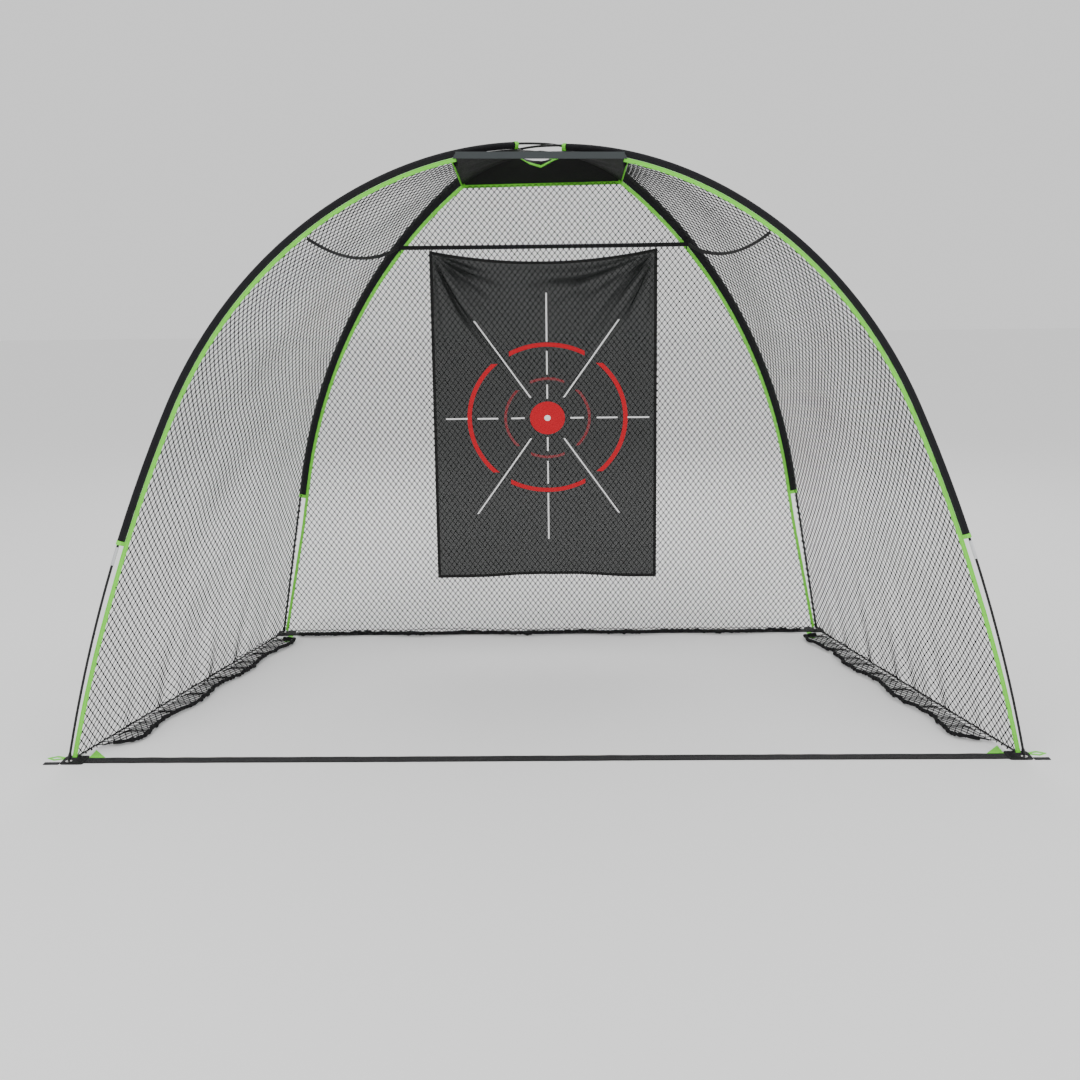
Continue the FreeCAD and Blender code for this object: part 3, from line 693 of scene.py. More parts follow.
def net_edge(corner, stations, reach_extra):
    """Points beside a pole where tape or net is sewn, from near the foot to just below the roof."""
    end, side = corner
    arch = arches[corner]
    low = arch.length_at(0.017)
    top = arch.length_at_half_width(ROOF_HALF_WIDTHS[end]) - NET_BELOW_ROOF
    lengths = low + (top - low) * np.asarray(stations)
    points, directions, inward = arch.at(lengths)
    share = np.minimum(1.0, points[:, 2] / NET_TAPER / SLEEVE_FEET[end])
    inset = SMALLEST_INSET + (sleeve_reach(end) + 0.0003 - SMALLEST_INSET) * share
    return points + inward * (inset + reach_extra)[:, None], directions, inward


for corner in CORNERS:
    end, side = corner
    stations = np.linspace(0.0, TAPE_TOP, 700)
    centres, directions, inward = net_edge(corner, stations, TAPE_WIDTH / 2)
    facing = np.cross(directions, inward)
    ripple = smooth_noise(stations * 90.0, 60 + CORNERS.index(corner)) * 0.0008
    grid = ribbon_grid(centres + facing * ripple[:, None], inward, TAPE_WIDTH)
    tape = shell_mesh("%s_%s_tape" % (end, SIDE_NAMES[side]), grid, TAPE_THICKNESS)
    finish_piece(tape, green_tape, "green_tape", "frame", "%s_%s_binding" % (end, SIDE_NAMES[side]))
    arch = arches[corner]
    for place, start in (("foot", arch.length_at(SLEEVE_FEET[end]) - 0.003),
                         ("crown", arch.length - CROWN_GAP - 0.011)):
        lengths = np.linspace(start, start + CUFF_WIDTH, 8)
        cuff = shell_mesh("%s_%s_%s_cuff" % (end, SIDE_NAMES[side], place),
                          sleeve_rings(corner, lengths, 22, grown=0.0012), 0.0012, closed=True)
        finish_piece(cuff, green_tape, "green_tape", "frame")

# ---- nets -------------------------------------------------------------------------------------
# Knotted black nylon twine in 20 mm diamonds, hung a little taller than wide. The rear net and
# the two side nets are sewn to the green tape, and their lower ends turn in along the floor.
REAR_HALF_CELL, SIDE_HALF_CELL = (0.0115, 0.0155), (0.0165, 0.0155)
TWINE_RADIUS, KNOT_RADIUS = 0.0018, 0.0036
SKIRT_GATHER = 0.72


def twine_material():
    """Twisted nylon twine: fine slanting strands in the bump and a slight gloss."""
    material, nodes, links, shader = thread_material("black_net_twine", (0.008, 0.008, 0.009), 0.55)
    add_handled(nodes, links, shader, (0.008, 0.008, 0.009), 14.0, 0.3, 0.55)
    add_bump(nodes, links, shader, fine_noise(nodes, links, 1400.0, 2.0), 0.3, 0.0003)
    return material


net_twine = twine_material()


def strand_mesh(name, starts, stops, radius):
    """Three-sided bars between pairs of points, each a plain prism that ends inside a knot."""
    along = stops - starts
    along /= np.linalg.norm(along, axis=1, keepdims=True)
    helper = np.where(np.abs(along[:, 1:2]) < 0.8, np.array([[0.0, 1.0, 0.0]]), np.array([[1.0, 0.0, 0.0]]))
    first = np.cross(along, helper)
    first /= np.linalg.norm(first, axis=1, keepdims=True)
    second = np.cross(along, first)
    turns = np.array([0.0, 2.0, 4.0]) * math.pi / 3
    cosines, sines = np.cos(turns)[None, :, None], np.sin(turns)[None, :, None]
    spokes = (first[:, None] * cosines + second[:, None] * sines) * radius
    points = np.concatenate((starts[:, None] + spokes, stops[:, None] + spokes), axis=1).reshape(-1, 3)
    corner = np.array([[0, 1, 4, 3], [1, 2, 5, 4], [2, 0, 3, 5]])
    faces = (np.arange(len(starts))[:, None, None] * 6 + corner[None]).reshape(-1, 4)
    return put_mesh(name, points, faces)


def knot_mesh(name, centres, radius, seed):
    """Eight-sided knots, each a little different in size."""
    generator = np.random.default_rng(seed)
    axes = np.array([[1, 0, 0], [-1, 0, 0], [0, 1, 0], [0, -1, 0], [0, 0, 1], [0, 0, -1]], float)
    sizes = radius * generator.uniform(0.8, 1.2, (len(centres), 1, 3))
    points = (centres[:, None] + axes[None] * sizes).reshape(-1, 3)
    corner = np.array([[0, 2, 4], [2, 1, 4], [1, 3, 4], [3, 0, 4],
                       [2, 0, 5], [1, 2, 5], [3, 1, 5], [0, 3, 5]])
    faces = (np.arange(len(centres))[:, None, None] * 6 + corner[None]).reshape(-1, 3)
    return put_mesh(name, points, faces)


def diamond_net(low, high, cell, inside):
    """Knots and bars of a diamond net on the flat, cut along the line where inside() falls to 0."""
    columns = np.arange(math.floor(low[0] / cell[0]), math.ceil(high[0] / cell[0]) + 1)
    rows = np.arange(math.floor(low[1] / cell[1]), math.ceil(high[1] / cell[1]) + 1)
    i, j = np.meshgrid(columns, rows, indexing="ij")
    even = (i + j) % 2 == 0
    i, j = i[even], j[even]
    knots = np.stack((i * cell[0], j * cell[1]), axis=-1)
    starts, stops = [], []
    for rise in (1, -1):
        ends = knots + np.array((cell[0], rise * cell[1]))
        a, b = inside(knots), inside(ends)
        keep = (a > 0) | (b > 0)
        begin, finish, a, b = knots[keep], ends[keep], a[keep][:, None], b[keep][:, None]
        cut = a / np.where(np.abs(a - b) < 1e-9, 1.0, a - b)
        starts.append(np.where(a > 0, begin, begin + (finish - begin) * cut))
        stops.append(np.where(b > 0, finish, begin + (finish - begin) * cut))
    return knots[inside(knots) > 0], np.concatenate(starts), np.concatenate(stops)


def net_pieces(name, knots, starts, stops, place, seed):
    """Hangs a flat net on its surface, as a piece of knots and a piece of twine, which it returns."""
    twine = strand_mesh(name + "_twine", place(starts), place(stops), TWINE_RADIUS)
    ties = knot_mesh(name + "_knots", place(knots), KNOT_RADIUS, seed)
    for piece in (twine, ties):
        piece.data.materials.append(net_twine)
        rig.slot(piece, "black_netting")
        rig.ride(piece, "frame")
    return twine


def wander(flat, seed, amount):
    """Slow uneven pull in a net, the same for every point at one flat place."""
    generator = np.random.default_rng(seed)
    total = np.zeros(len(flat))
    for _ in range(7):
        pitch = generator.uniform(-14.0, 14.0, 2)
        total += np.sin(flat @ pitch + generator.uniform(0.0, 2 * math.pi))
    return total * amount / 2.6


class HungNet:
    """A net between two sewn edges, and the skirt where it turns in along the floor.

    Flat places are (distance across, distance up from the floor). Above the floor a place lies
    on the straight line between the two edges at that level; below it, on the floor, inside.
    """

    def __init__(self, first, last, axis, inward, skirt, seed):
        self.first, self.last, self.axis = first, last, axis
        self.inward, self.skirt, self.seed = inward, skirt, seed
        middle = (first + last) / 2
        flat_middle = middle.copy()
        flat_middle[:, axis] = 0.0
        self.levels = running_length(flat_middle) + middle[0, 2]
        self.floor_first = first[0] * (1, 1, 0)
        self.floor_last = last[0] * (1, 1, 0)

    def free_edge(self, places):
        """The line along the skirt's outer edge, where its rope is threaded through."""
        return self.place(np.stack((places, -self.skirt(places)), axis=-1))

    def edges(self, level):
        clipped = np.clip(level, self.levels[0], self.levels[-1])
        first = np.stack([np.interp(clipped, self.levels, self.first[:, k]) for k in range(3)], axis=-1)
        last = np.stack([np.interp(clipped, self.levels, self.last[:, k]) for k in range(3)], axis=-1)
        return first, last

    def inside(self, flat):
        """How far inside its own outline a flat place is: the sewn edges, the top and the free edge."""
        first, last = self.edges(flat[:, 1])
        low, high = first[:, self.axis], last[:, self.axis]
        across = np.minimum(flat[:, 0] - low, high - flat[:, 0])
        up = np.minimum(self.levels[-1] - flat[:, 1], flat[:, 1] + self.skirt(flat[:, 0]))
        return np.minimum(across, up)

    def place(self, flat):
        first, last = self.edges(flat[:, 1])
        low, high = first[:, self.axis], last[:, self.axis]
        share = ((flat[:, 0] - low) / (high - low))[:, None]
        hung = first + (last - first) * share
        slack = np.sin(np.clip(share[:, 0], 0, 1) * math.pi)
        near_floor = np.exp(-np.clip(flat[:, 1], 0, None) / 0.16)
        ripple = np.sin(flat[:, 0] * 31.0 + self.seed) * 0.6 + np.sin(flat[:, 0] * 53.0 + 2 * self.seed) * 0.4
        push = slack * (wander(flat, self.seed, 0.004) + near_floor * ripple * 0.010)
        hung = hung + self.inward * push[:, None]
        hung = hung + np.array((0.0, 0.0, 1.0)) * (slack * wander(flat, self.seed + 1, 0.0022))[:, None]
        base = self.floor_first + (self.floor_last - self.floor_first) * share
        out = np.clip(-flat[:, 1], 0.0, None)
        lying = base + self.inward * (out * SKIRT_GATHER)[:, None]
        folds = np.sin(flat[:, 0] * 33.0 + 3 * self.seed) + np.sin(flat[:, 0] * 58.0)
        lying[:, 2] = 0.0048 + (0.006 + 0.0025 * folds) * np.clip(out / 0.04, 0, 1)
        return np.where(flat[:, 1:2] < 0.0, lying, np.maximum(hung, (-9.0, -9.0, 0.0048)))


def rear_skirt_width(x):
    """Flat width of the net that is gathered on the floor inside the rear strap, up to the peg loops."""
    width = (0.047 + 0.013 * np.sin(2 * math.pi * 5.0 * (x / 2.289 + 0.5))) / SKIRT_GATHER
    return width * np.clip((1.136 - np.abs(x)) / 0.030, 0.0, 1.0)


def side_skirt_width(y):
    share = (y - 0.118) / 1.400
    width = (0.098 + 0.013 * np.sin(2 * math.pi * 3.5 * share)) / SKIRT_GATHER
    return width * np.clip(share / 0.05, 0.02, 1.0) * np.clip((1 - share) / 0.04, 0.02, 1.0)


stations = np.linspace(0.0, TAPE_TOP, 240)
edge_lines = {corner: net_edge(corner, stations, TAPE_WIDTH - 0.002)[0] for corner in CORNERS}
rear_net = HungNet(edge_lines["rear", -1], edge_lines["rear", 1], 0, np.array((0.0, -1.0, 0.0)),
                   rear_skirt_width, 3)
knots, starts, stops = diamond_net((-1.25, -0.12), (1.25, 2.6), REAR_HALF_CELL, rear_net.inside)
rear_twine = net_pieces("rear_net", knots, starts, stops, rear_net.place, 5)
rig.replaces(rear_twine, "rear_net", "rear_skirt")

side_nets = {}
for side in (-1, 1):
    side_name = SIDE_NAMES[side]
    arch = arches["rear", side]
    low, high = arch.length_at(0.017), arch.length_at_half_width(ROOF_HALF_WIDTHS["rear"]) - NET_BELOW_ROOF
    centres, directions, inward = arch.at(low + (high - low) * stations)
    rear_edge = centres + inward * 0.009
    side_net = HungNet(edge_lines["front", side], rear_edge, 1, np.array((-side * 1.0, 0.0, 0.0)),
                       side_skirt_width, 7 + side)
    side_nets[side] = side_net
    knots, starts, stops = diamond_net((0.0, -0.20), (1.70, 2.8), SIDE_HALF_CELL, side_net.inside)
    twine = net_pieces(side_name + "_net", knots, starts, stops, side_net.place, 20 + side)
    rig.replaces(twine, side_name + "_net", side_name + "_skirt")


# ---- ropes along the base ----------------------------------------------------------------------
# A black cord runs along each side of the base from corner to corner, under the edge of the net.
# A gathered rope is threaded through the free edge of the net that lies on the floor.
BASE_CORD_RADIUS = 0.0024
SKIRT_ROPE_RADIUS = 0.0070
TAB_SIZE, TAB_OVERHANG = 0.080, 0.025


def rope_mesh(name, path, radius, sides=8):
    """A rope: rings of some radius about a path (n, 3), with both ends closed by a small cone.

    Each ring is path + radius * (cos a * side + sin a * up), with side level and up across it.
    """
    radius = np.broadcast_to(np.asarray(radius, float), (len(path),)).copy()
    heading = np.gradient(path, axis=0)
    heading /= np.linalg.norm(heading, axis=1, keepdims=True)
    side = np.cross(heading, (0.0, 0.0, 1.0))
    side /= np.linalg.norm(side, axis=1, keepdims=True)
    over = np.cross(side, heading)
    turn = np.linspace(0.0, 2 * math.pi, sides, endpoint=False)
    path = np.concatenate((path[:1], path, path[-1:]))
    side, over = (np.concatenate((way[:1], way, way[-1:])) for way in (side, over))
    radius = np.concatenate(((radius[0] * 0.05,), radius, (radius[-1] * 0.05,)))
    rings = path[:, None] + radius[:, None, None] * (side[:, None] * np.cos(turn)[None, :, None]
                                                     + over[:, None] * np.sin(turn)[None, :, None])
    count = len(path)
    faces = grid_faces(count, sides, round_columns=True)[:, ::-1]
    along = running_length(path)
    around = 2 * math.pi * np.arange(sides + 1) / sides * radius.max()
    i, j = np.divmod(np.arange((count - 1) * sides), sides)
    corner_flat = np.stack([np.stack((along[i + a], around[j + b]), axis=-1)
                            for a, b in ((1, 0), (1, 1), (0, 1), (0, 0))], axis=1)
    return put_mesh(name, rings.reshape(-1, 3), faces, corner_flat)


def braid_material(name, colour, pitch):
    """Braided cord: two sets of crossing slanted strands in the bump, from the flat map in metres."""
    material, nodes, links, shader = thread_material(name, colour, 0.7)
    add_handled(nodes, links, shader, colour, 10.0, 0.25, 0.7)
    add_bump(nodes, links, shader, place_weave(nodes, pitch, pitch), 0.8, 0.0008)
    return material


black_cord = braid_material("black_braided_cord", (0.009, 0.009, 0.010), 0.004)


for side in (-1, 1):
    start, stop = foot("front", side), foot("rear", side)
    along = (stop - start) / np.linalg.norm(stop - start)
    clear = (TAB_SIZE - TAB_OVERHANG) / along[1] + 0.001
    share = np.linspace(0.0, 1.0, 300)[:, None]
    path = (start + along * clear) * (1 - share) + (stop - along * clear) * share
    path[:, 2] = BASE_CORD_RADIUS + 0.0006 + 0.0005 * np.sin(share[:, 0] * 120.0)
    path[:, 0] += 0.0012 * smooth_noise(share[:, 0] * 40.0, 90 + side)
    cord = rope_mesh("%s_base_cord" % SIDE_NAMES[side], path, BASE_CORD_RADIUS)
    finish_piece(cord, black_cord, "black_cord", "frame", "base_cords")
    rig.cord(cord, exit=path[0], length=running_length(path)[-1], diameter=2 * BASE_CORD_RADIUS,
            far_end="object", stiffness="limp", lay="taut", path=path)

for name, net, low, high in (("rear", rear_net, -1.118, 1.118), ("left", side_nets[-1], 0.150, 1.495),
                             ("right", side_nets[1], 0.150, 1.495)):
    places = np.linspace(low, high, 700)
    path = net.free_edge(places)
    path += net.inward * (0.004 * smooth_noise(places * 34.0, 71))[:, None]
    path[:, 2] = SKIRT_ROPE_RADIUS + 0.002 + 0.0035 * (1 + smooth_noise(places * 30.0, 72 + len(name)))
    radius = SKIRT_ROPE_RADIUS * (1 + 0.35 * smooth_noise(places * 120.0, 75))
    rope = rope_mesh(name + "_skirt_rope", path, radius)
    finish_piece(rope, black_cord, "black_cord", "frame", "skirt_ropes")

# ---- roof --------------------------------------------------------------------------------------
# A panel of black polyester is stretched between the four sleeves. Its open front edge is a
# turned hem, its other edges are bound in green, and it has a bound diamond hole at the crown.
ROOF_GAP = 0.002
ROOF_THICKNESS = 0.0009
CROWN_HOLE = (0.080, 0.060)
HOLE_DIPS = {"front": -0.005, "side": -0.012, "rear": 0.016}
HOLE_HANG, SLEEVE_END_SHARE = 0.030, 0.857
ROOF_SAG = 0.014
ROOF_HEM_WIDTH, ROOF_HEM_THICKNESS, ROOF_HEM_INSET = 0.024, 0.0022, 0.004

roof_cloth = cloth_material("black_roof_polyester", (0.006, 0.006, 0.006), 0.55, (0.0011, 0.0011), sheen=0.02,
                            bump=0.5, depth=0.0015)
# The hem is the same black polyester as the roof cloth. Its lighter bluish grey is painted sheen: the light that its
# turned front face catches.
hem_cloth = cloth_material("roof_hem_polyester", (0.045, 0.052, 0.054), 0.5, (0.0009, 0.0009), bump=0.4)


def roof_line(corner, share):
    """Points under one half of a pole, from the roof's corner to the edge of the hole at the crown."""
    end = corner[0]
    arch = arches[corner]
    start, stop = arch.length_at_half_width(ROOF_HALF_WIDTHS[end]), arch.length - 0.050
    points, directions, inward = arch.at(start + (stop - start) * share)
    return points + inward * (sleeve_reach(end) + ROOF_GAP * (1 - share[:, None]))


def roof_quarter(first, last, outward, dip, rows=46, columns=60):
    """One quarter of the roof, between two neighbouring sleeves.

    The straight line between the sleeves at each level is let down by ROOF_SAG * 16 r(1 - r) w(1 - w).
    Past the ends of the sleeves it hangs free, drawn out and let down to the hole's point.
    """
    r = np.linspace(0.0, 1.0, rows)
    w = np.linspace(0.0, 1.0, columns)
    left, right = roof_line(first, r), roof_line(last, r)
    grid = left[:, None] * (1 - w)[None, :, None] + right[:, None] * w[None, :, None]
    bow = 1 - np.abs(2 * w - 1)
    reach = (r ** 3)[:, None] * bow[None]
    hole_edge = grid[-1, columns // 2] - np.array((0.0, CROSSING_Y, 0.0))
    need = CROWN_HOLE[0] if abs(outward[0]) > 0 else CROWN_HOLE[1]
    grid += outward * ((need - abs(float(hole_edge @ outward))) * reach)[..., None]
    fall = dip * reach + ROOF_SAG * 16 * (r * (1 - r))[:, None] * (w * (1 - w))[None]
    hang = HOLE_HANG * np.clip((r - SLEEVE_END_SHARE) / (1 - SLEEVE_END_SHARE), 0.0, 1.0)
    crease = 0.0016 * np.sin(w * 23.0 + 300 * dip)[None] * np.sin(r * math.pi)[:, None] * bow[None]
    grid[..., 2] -= fall + hang[:, None] + crease
    return grid


QUARTERS = {"front": (("front", -1), ("front", 1), np.array((0.0, -1.0, 0.0))),
            "right": (("front", 1), ("rear", 1), np.array((1.0, 0.0, 0.0))),
            "rear": (("rear", 1), ("rear", -1), np.array((0.0, 1.0, 0.0))),
            "left": (("rear", -1), ("front", -1), np.array((-1.0, 0.0, 0.0)))}
quarter_grids = {name: roof_quarter(first, last, out, HOLE_DIPS.get(name, HOLE_DIPS["side"]))
                 for name, (first, last, out) in QUARTERS.items()}
round_roof = ("front", "right", "rear", "left")
roof_grid = np.concatenate([quarter_grids[name][:, :-1] for name in round_roof], axis=1)
roof_flat = np.stack((roof_grid[..., 0], roof_grid[..., 1]), axis=-1)
roof = shell_mesh("roof_cloth", roof_grid, ROOF_THICKNESS, closed=True, flat=roof_flat)
finish_piece(roof, roof_cloth, "black_polyester", "frame", "roof_panel")
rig.sheet(roof, flat=(0.640, 0.400), area=0.241, held="stretched")

trim_parts = [quarter_grids[name][-3:, :-1] for name in round_roof]
trim_grid = np.concatenate(trim_parts, axis=1)
trim = shell_mesh("crown_hole_trim", trim_grid, 0.0032, closed=True)
finish_piece(trim, green_tape, "green_tape", "frame", "crown_trim")

front_edge = quarter_grids["front"][0]
share = np.linspace(0.0, 1.0, 120)[:, None]
hem_start, hem_stop = front_edge[0] + (ROOF_HEM_INSET, 0, 0), front_edge[-1] - (ROOF_HEM_INSET, 0, 0)
centres = hem_start * (1 - share) + hem_stop * share + (0.0, -0.0018, ROOF_HEM_WIDTH / 2)
hem_grid = ribbon_grid(centres, np.tile((0.0, 0.0, 1.0), (120, 1)), ROOF_HEM_WIDTH, 5)
hem = shell_mesh("roof_hem_cloth", hem_grid, ROOF_HEM_THICKNESS)
finish_piece(hem, hem_cloth, "black_polyester", "frame", "roof_front_hem")

for name in ("right", "rear", "left"):
    edge = quarter_grids[name][0]
    out = QUARTERS[name][2]
    centres = edge + out * 0.0012 + (0.0, 0.0, -TAPE_WIDTH / 2 + 0.003)
    ripple = smooth_noise(np.linspace(0, 1, len(edge)) * 30.0, 31)[:, None] * 0.0008
    grid = ribbon_grid(centres + out * ripple, np.tile((0.0, 0.0, 1.0), (len(edge), 1)), TAPE_WIDTH)
    tape = shell_mesh(name + "_roof_tape", grid, TAPE_THICKNESS)
    finish_piece(tape, green_tape, "green_tape", "frame", "roof_bindings")

# ---- hanging strap -----------------------------------------------------------------------------
# A strap of black webbing is sewn across the inside of the rear arch to carry the target. Its two
# ends go on, hanging in a slack curve, to the green tape of the front arch.
STRAP_HEIGHT, STRAP_Y, STRAP_THICKNESS = 1.688, 1.215, 0.0016
CROSS_STRAP_WIDTH, SIDE_STRAP_WIDTH = 0.0165, 0.013
STRAP_FRONT_HEIGHT, STRAP_SAG = 1.745, 0.052

black_webbing = cloth_material("black_webbing", (0.007, 0.007, 0.008), 0.68, (0.0022, 0.0016), bump=0.6,
                               depth=0.0009)


def strap_end(end, side):
    arch = arches[end, side]
    height = STRAP_FRONT_HEIGHT if end == "front" else STRAP_HEIGHT
    points, directions, inward = arch.at([arch.length_at(height)])
    return points[0] + inward[0] * (sleeve_reach(end) + TAPE_WIDTH + 0.009)


rear_x = strap_end("rear", 1)[0]
x = np.linspace(-rear_x - 0.006, rear_x + 0.006, 240)
sag = 0.0018 * (1 - (x / rear_x) ** 2)
centres = np.stack((x, np.full_like(x, STRAP_Y) + 0.0006 * np.sin(x * 21.0), STRAP_HEIGHT - sag), axis=-1)
across = np.tile((0.0, 0.0, 1.0), (len(x), 1))
strap = shell_mesh("cross_webbing", ribbon_grid(centres, across, CROSS_STRAP_WIDTH), STRAP_THICKNESS)
finish_piece(strap, black_webbing, "black_webbing", "frame", "cross_strap")

for side in (-1, 1):
    share = np.linspace(-0.006, 1.0, 160)[:, None]
    start, stop = strap_end("front", side), np.array((side * (rear_x + 0.001), STRAP_Y, STRAP_HEIGHT))
    path = start * (1 - share) + stop * share - np.array((0.0, 0.0, 4 * STRAP_SAG)) * share * (1 - share)
    twist = 0.5 * np.sin(share[:, 0] * math.pi) * side
    across = np.stack((np.sin(twist), np.zeros(len(path)), np.cos(twist)), axis=-1)
    strap = shell_mesh("%s_side_webbing" % SIDE_NAMES[side], ribbon_grid(path, across, SIDE_STRAP_WIDTH),
                       STRAP_THICKNESS)
    finish_piece(strap, black_webbing, "black_webbing", "frame", "%s_side_strap" % SIDE_NAMES[side])
    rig.cord(strap, exit=path[0], length=running_length(path)[-1], diameter=SIDE_STRAP_WIDTH, far_end="object",
            stiffness="limp", lay="hanging", path=path)

# ---- hanging target ----------------------------------------------------------------------------
# The target is a sheet of thin black mesh cloth with a printed bullseye and a black hem, hung by
# its two upper corners. The slack of its top edge falls in swags and fans of folds below them.
TARGET_HALF, TARGET_TOP, TARGET_BOTTOM, TARGET_Y = 0.4525, 1.675, 0.350, 1.210
TARGET_SAG = 0.046
TARGET_THICKNESS = 0.0008
PRINT_CENTRE = (0.010, 1.006)
HEM_WIDTH, HEM_THICKNESS = 0.012, 0.0022
FOLD_ANGLES = (9.0, 19.0, 29.0, 38.0, 50.0, 62.0, 73.0)
FOLD_WIDTHS = (2.4, 3.0, 2.0, 3.2, 3.4, 3.2, 2.6)
FOLD_HEIGHTS = {-1: (0.007, -0.006, 0.014, -0.008, 0.009, -0.008, 0.007),
                1: (0.006, -0.007, 0.008, 0.012, -0.010, 0.007, -0.006)}
# FOLD_SHADE is the strength of the painted fold shade: how much the steepest folds are made opaque, and so darker.
FOLD_SHADE = 0.75


def target_point(x, share):
    """A place on the hung sheet: x across it, and share down from its top edge to its bottom edge.

    The top edge is a shallow parabola. The depth is a sum of Gaussian ridges along rays from each
    upper corner, two swags under the top edge, and slow wanders that grow towards the bottom.
    """
    top = TARGET_TOP - TARGET_SAG * (1 - (x / TARGET_HALF) ** 2)
    bottom = TARGET_BOTTOM + 0.006 * np.cos(x * 7.0)
    z = top + (bottom - top) * share
    depth = np.zeros_like(x * share)
    for side in (-1, 1):
        across, down = TARGET_HALF - side * x, TARGET_TOP - z
        away = np.hypot(across, down)
        angle = np.degrees(np.arctan2(across, down))
        strength = np.clip(away / 0.12, 0.0, 1.0) * np.exp(-(away / 0.66) ** 2)
        for at, wide, height in zip(FOLD_ANGLES, FOLD_WIDTHS, FOLD_HEIGHTS[side]):
            bend = at + 3.0 * np.sin(away * 7.0 + at)
            depth += height * strength * np.exp(-((angle - bend) / wide) ** 2)
    middle = 1 - (x / TARGET_HALF) ** 2
    below = (top - z) / (0.030 + 0.075 * middle)
    depth -= 0.012 * middle * np.exp(-((below - 0.55) / 0.28) ** 2)
    depth += 0.008 * middle * np.exp(-((below - 1.15) / 0.35) ** 2)
    low = np.clip(share, 0.0, 1.0) ** 1.5
    depth += low * (0.006 * np.sin(x * 9.0 + 0.8) + 0.0035 * np.sin(x * 23.0 + share * 3.0 + 1.0))
    depth += 0.0012 * np.sin(x * 61.0 + share * 19.0) * np.sin(share * 37.0 + x * 12.0)
    return np.stack(np.broadcast_arrays(x, TARGET_Y + depth, z), axis=-1)


def print_group():
    """The print: masks of red and white from a flat map in metres about the middle of the bullseye."""
    group, nodes, links, given, out = new_group(
        "bullseye_print", [("NodeSocketFloat", "Squeeze", 0.935)],
        [("NodeSocketFloat", "Red"), ("NodeSocketFloat", "White"), ("NodeSocketFloat", "Dull red")])
    flat = flat_map(nodes, links)

    def step(operation, first, second=None, third=None):
        return value_of(nodes, links, operation, first, second, third)

    def inside(value, low, high):
        return step("MULTIPLY", step("GREATER_THAN", value, low), step("LESS_THAN", value, high))

    def either(*masks):
        total = masks[0]
        for mask in masks[1:]:
            total = step("MAXIMUM", total, mask)
        return total

    across, above = step("ABSOLUTE", flat["X"]), step("ABSOLUTE", flat["Y"])
    tall = step("DIVIDE", above, given["Squeeze"])
    radius = step("SQRT", step("ADD", step("MULTIPLY", across, across), step("MULTIPLY", tall, tall)))
    outer = step("MULTIPLY", step("COMPARE", radius, 0.316, 0.0088),
                 either(step("LESS_THAN", across, 0.152), step("LESS_THAN", above, 0.220)))
    inner = step("MULTIPLY", step("COMPARE", radius, 0.170, 0.0055),
                 either(step("LESS_THAN", across, 0.069), step("LESS_THAN", above, 0.113)))
    dot = step("LESS_THAN", radius, 0.0125)
    links.new(either(outer, step("LESS_THAN", radius, 0.071)), out["Red"])
    links.new(inner, out["Dull red"])
    upright_dashes = ((0.078, 0.135), (0.176, 0.270), (0.308, 0.500))
    level_dashes = ((0.093, 0.147), (0.200, 0.284), (0.325, 0.412))
    half_line = 0.0030
    upright = step("MULTIPLY", step("LESS_THAN", across, half_line),
                   either(*(inside(above, *dash) for dash in upright_dashes)))
    level = step("MULTIPLY", step("LESS_THAN", above, half_line),
                 either(*(inside(across, *dash) for dash in level_dashes)))
    slope, away = 1.386, 0.010
    off = step("ABSOLUTE", step("ADD", step("MULTIPLY_ADD", across, -slope, above), away))
    on_slant = step("LESS_THAN", off, 0.0028 * math.hypot(1, slope))
    slanted = step("MULTIPLY", on_slant, inside(above, 0.083, 0.392))
    links.new(either(dot, upright, level, slanted), out["White"])
    return group


def target_material():
    """Thin black mesh cloth that lets a little light through, with an opaque print. Where the sheet is steep it is
    made more opaque as painted fold shade, so its folds show as dark streaks.
    """
    cloth = (0.009, 0.0105, 0.010)
    material, nodes, links, shader = thread_material("printed_mesh_cloth", cloth, 0.6)
    printed = nodes.new("ShaderNodeGroup")
    printed.node_tree = print_group()
    handled = add_handled(nodes, links, shader, cloth, 5.0, 0.18, 0.6)
    colour = handled.outputs["Colour"]
    inks = {"Dull red": (0.20, 0.008, 0.014), "Red": (0.50, 0.006, 0.016), "White": (0.85, 0.85, 0.85)}
    for mask, ink in inks.items():
        colour = mix_in(nodes, links, printed.outputs[mask], colour, ink)
    links.new(colour, shader.inputs["Base Color"])
    # Painted fold shade: the sheet's steepness, stored on its points, raises the cloth's opacity so that its folds
    # show as darker streaks.
    steepness = nodes.new("ShaderNodeAttribute")
    steepness.attribute_name = "steepness"
    opaque_print_and_fold_shade = value_of(nodes, links, "MAXIMUM", printed.outputs["Red"], printed.outputs["White"])
    opaque_print_and_fold_shade = value_of(nodes, links, "MAXIMUM", opaque_print_and_fold_shade, steepness.outputs["Fac"])
    cover = value_of(nodes, links, "MULTIPLY_ADD", opaque_print_and_fold_shade, 1 - CLOTH_COVER, CLOTH_COVER)
    links.new(cover, shader.inputs["Alpha"])
    add_bump(nodes, links, shader, place_weave(nodes, 0.0016, 0.0016), 0.4, 0.0004)
    return material


CLOTH_COVER = 0.75
columns, rows = 150, 210
x = np.linspace(-TARGET_HALF + 0.003, TARGET_HALF - 0.003, columns)[None, :]
share = np.linspace(0.002, 0.998, rows)[:, None]
grid = target_point(x, share)
flat = np.stack((grid[..., 0] - PRINT_CENTRE[0], grid[..., 2] - PRINT_CENTRE[1]), axis=-1)
target = shell_mesh("target_cloth", grid, TARGET_THICKNESS, flat=flat)
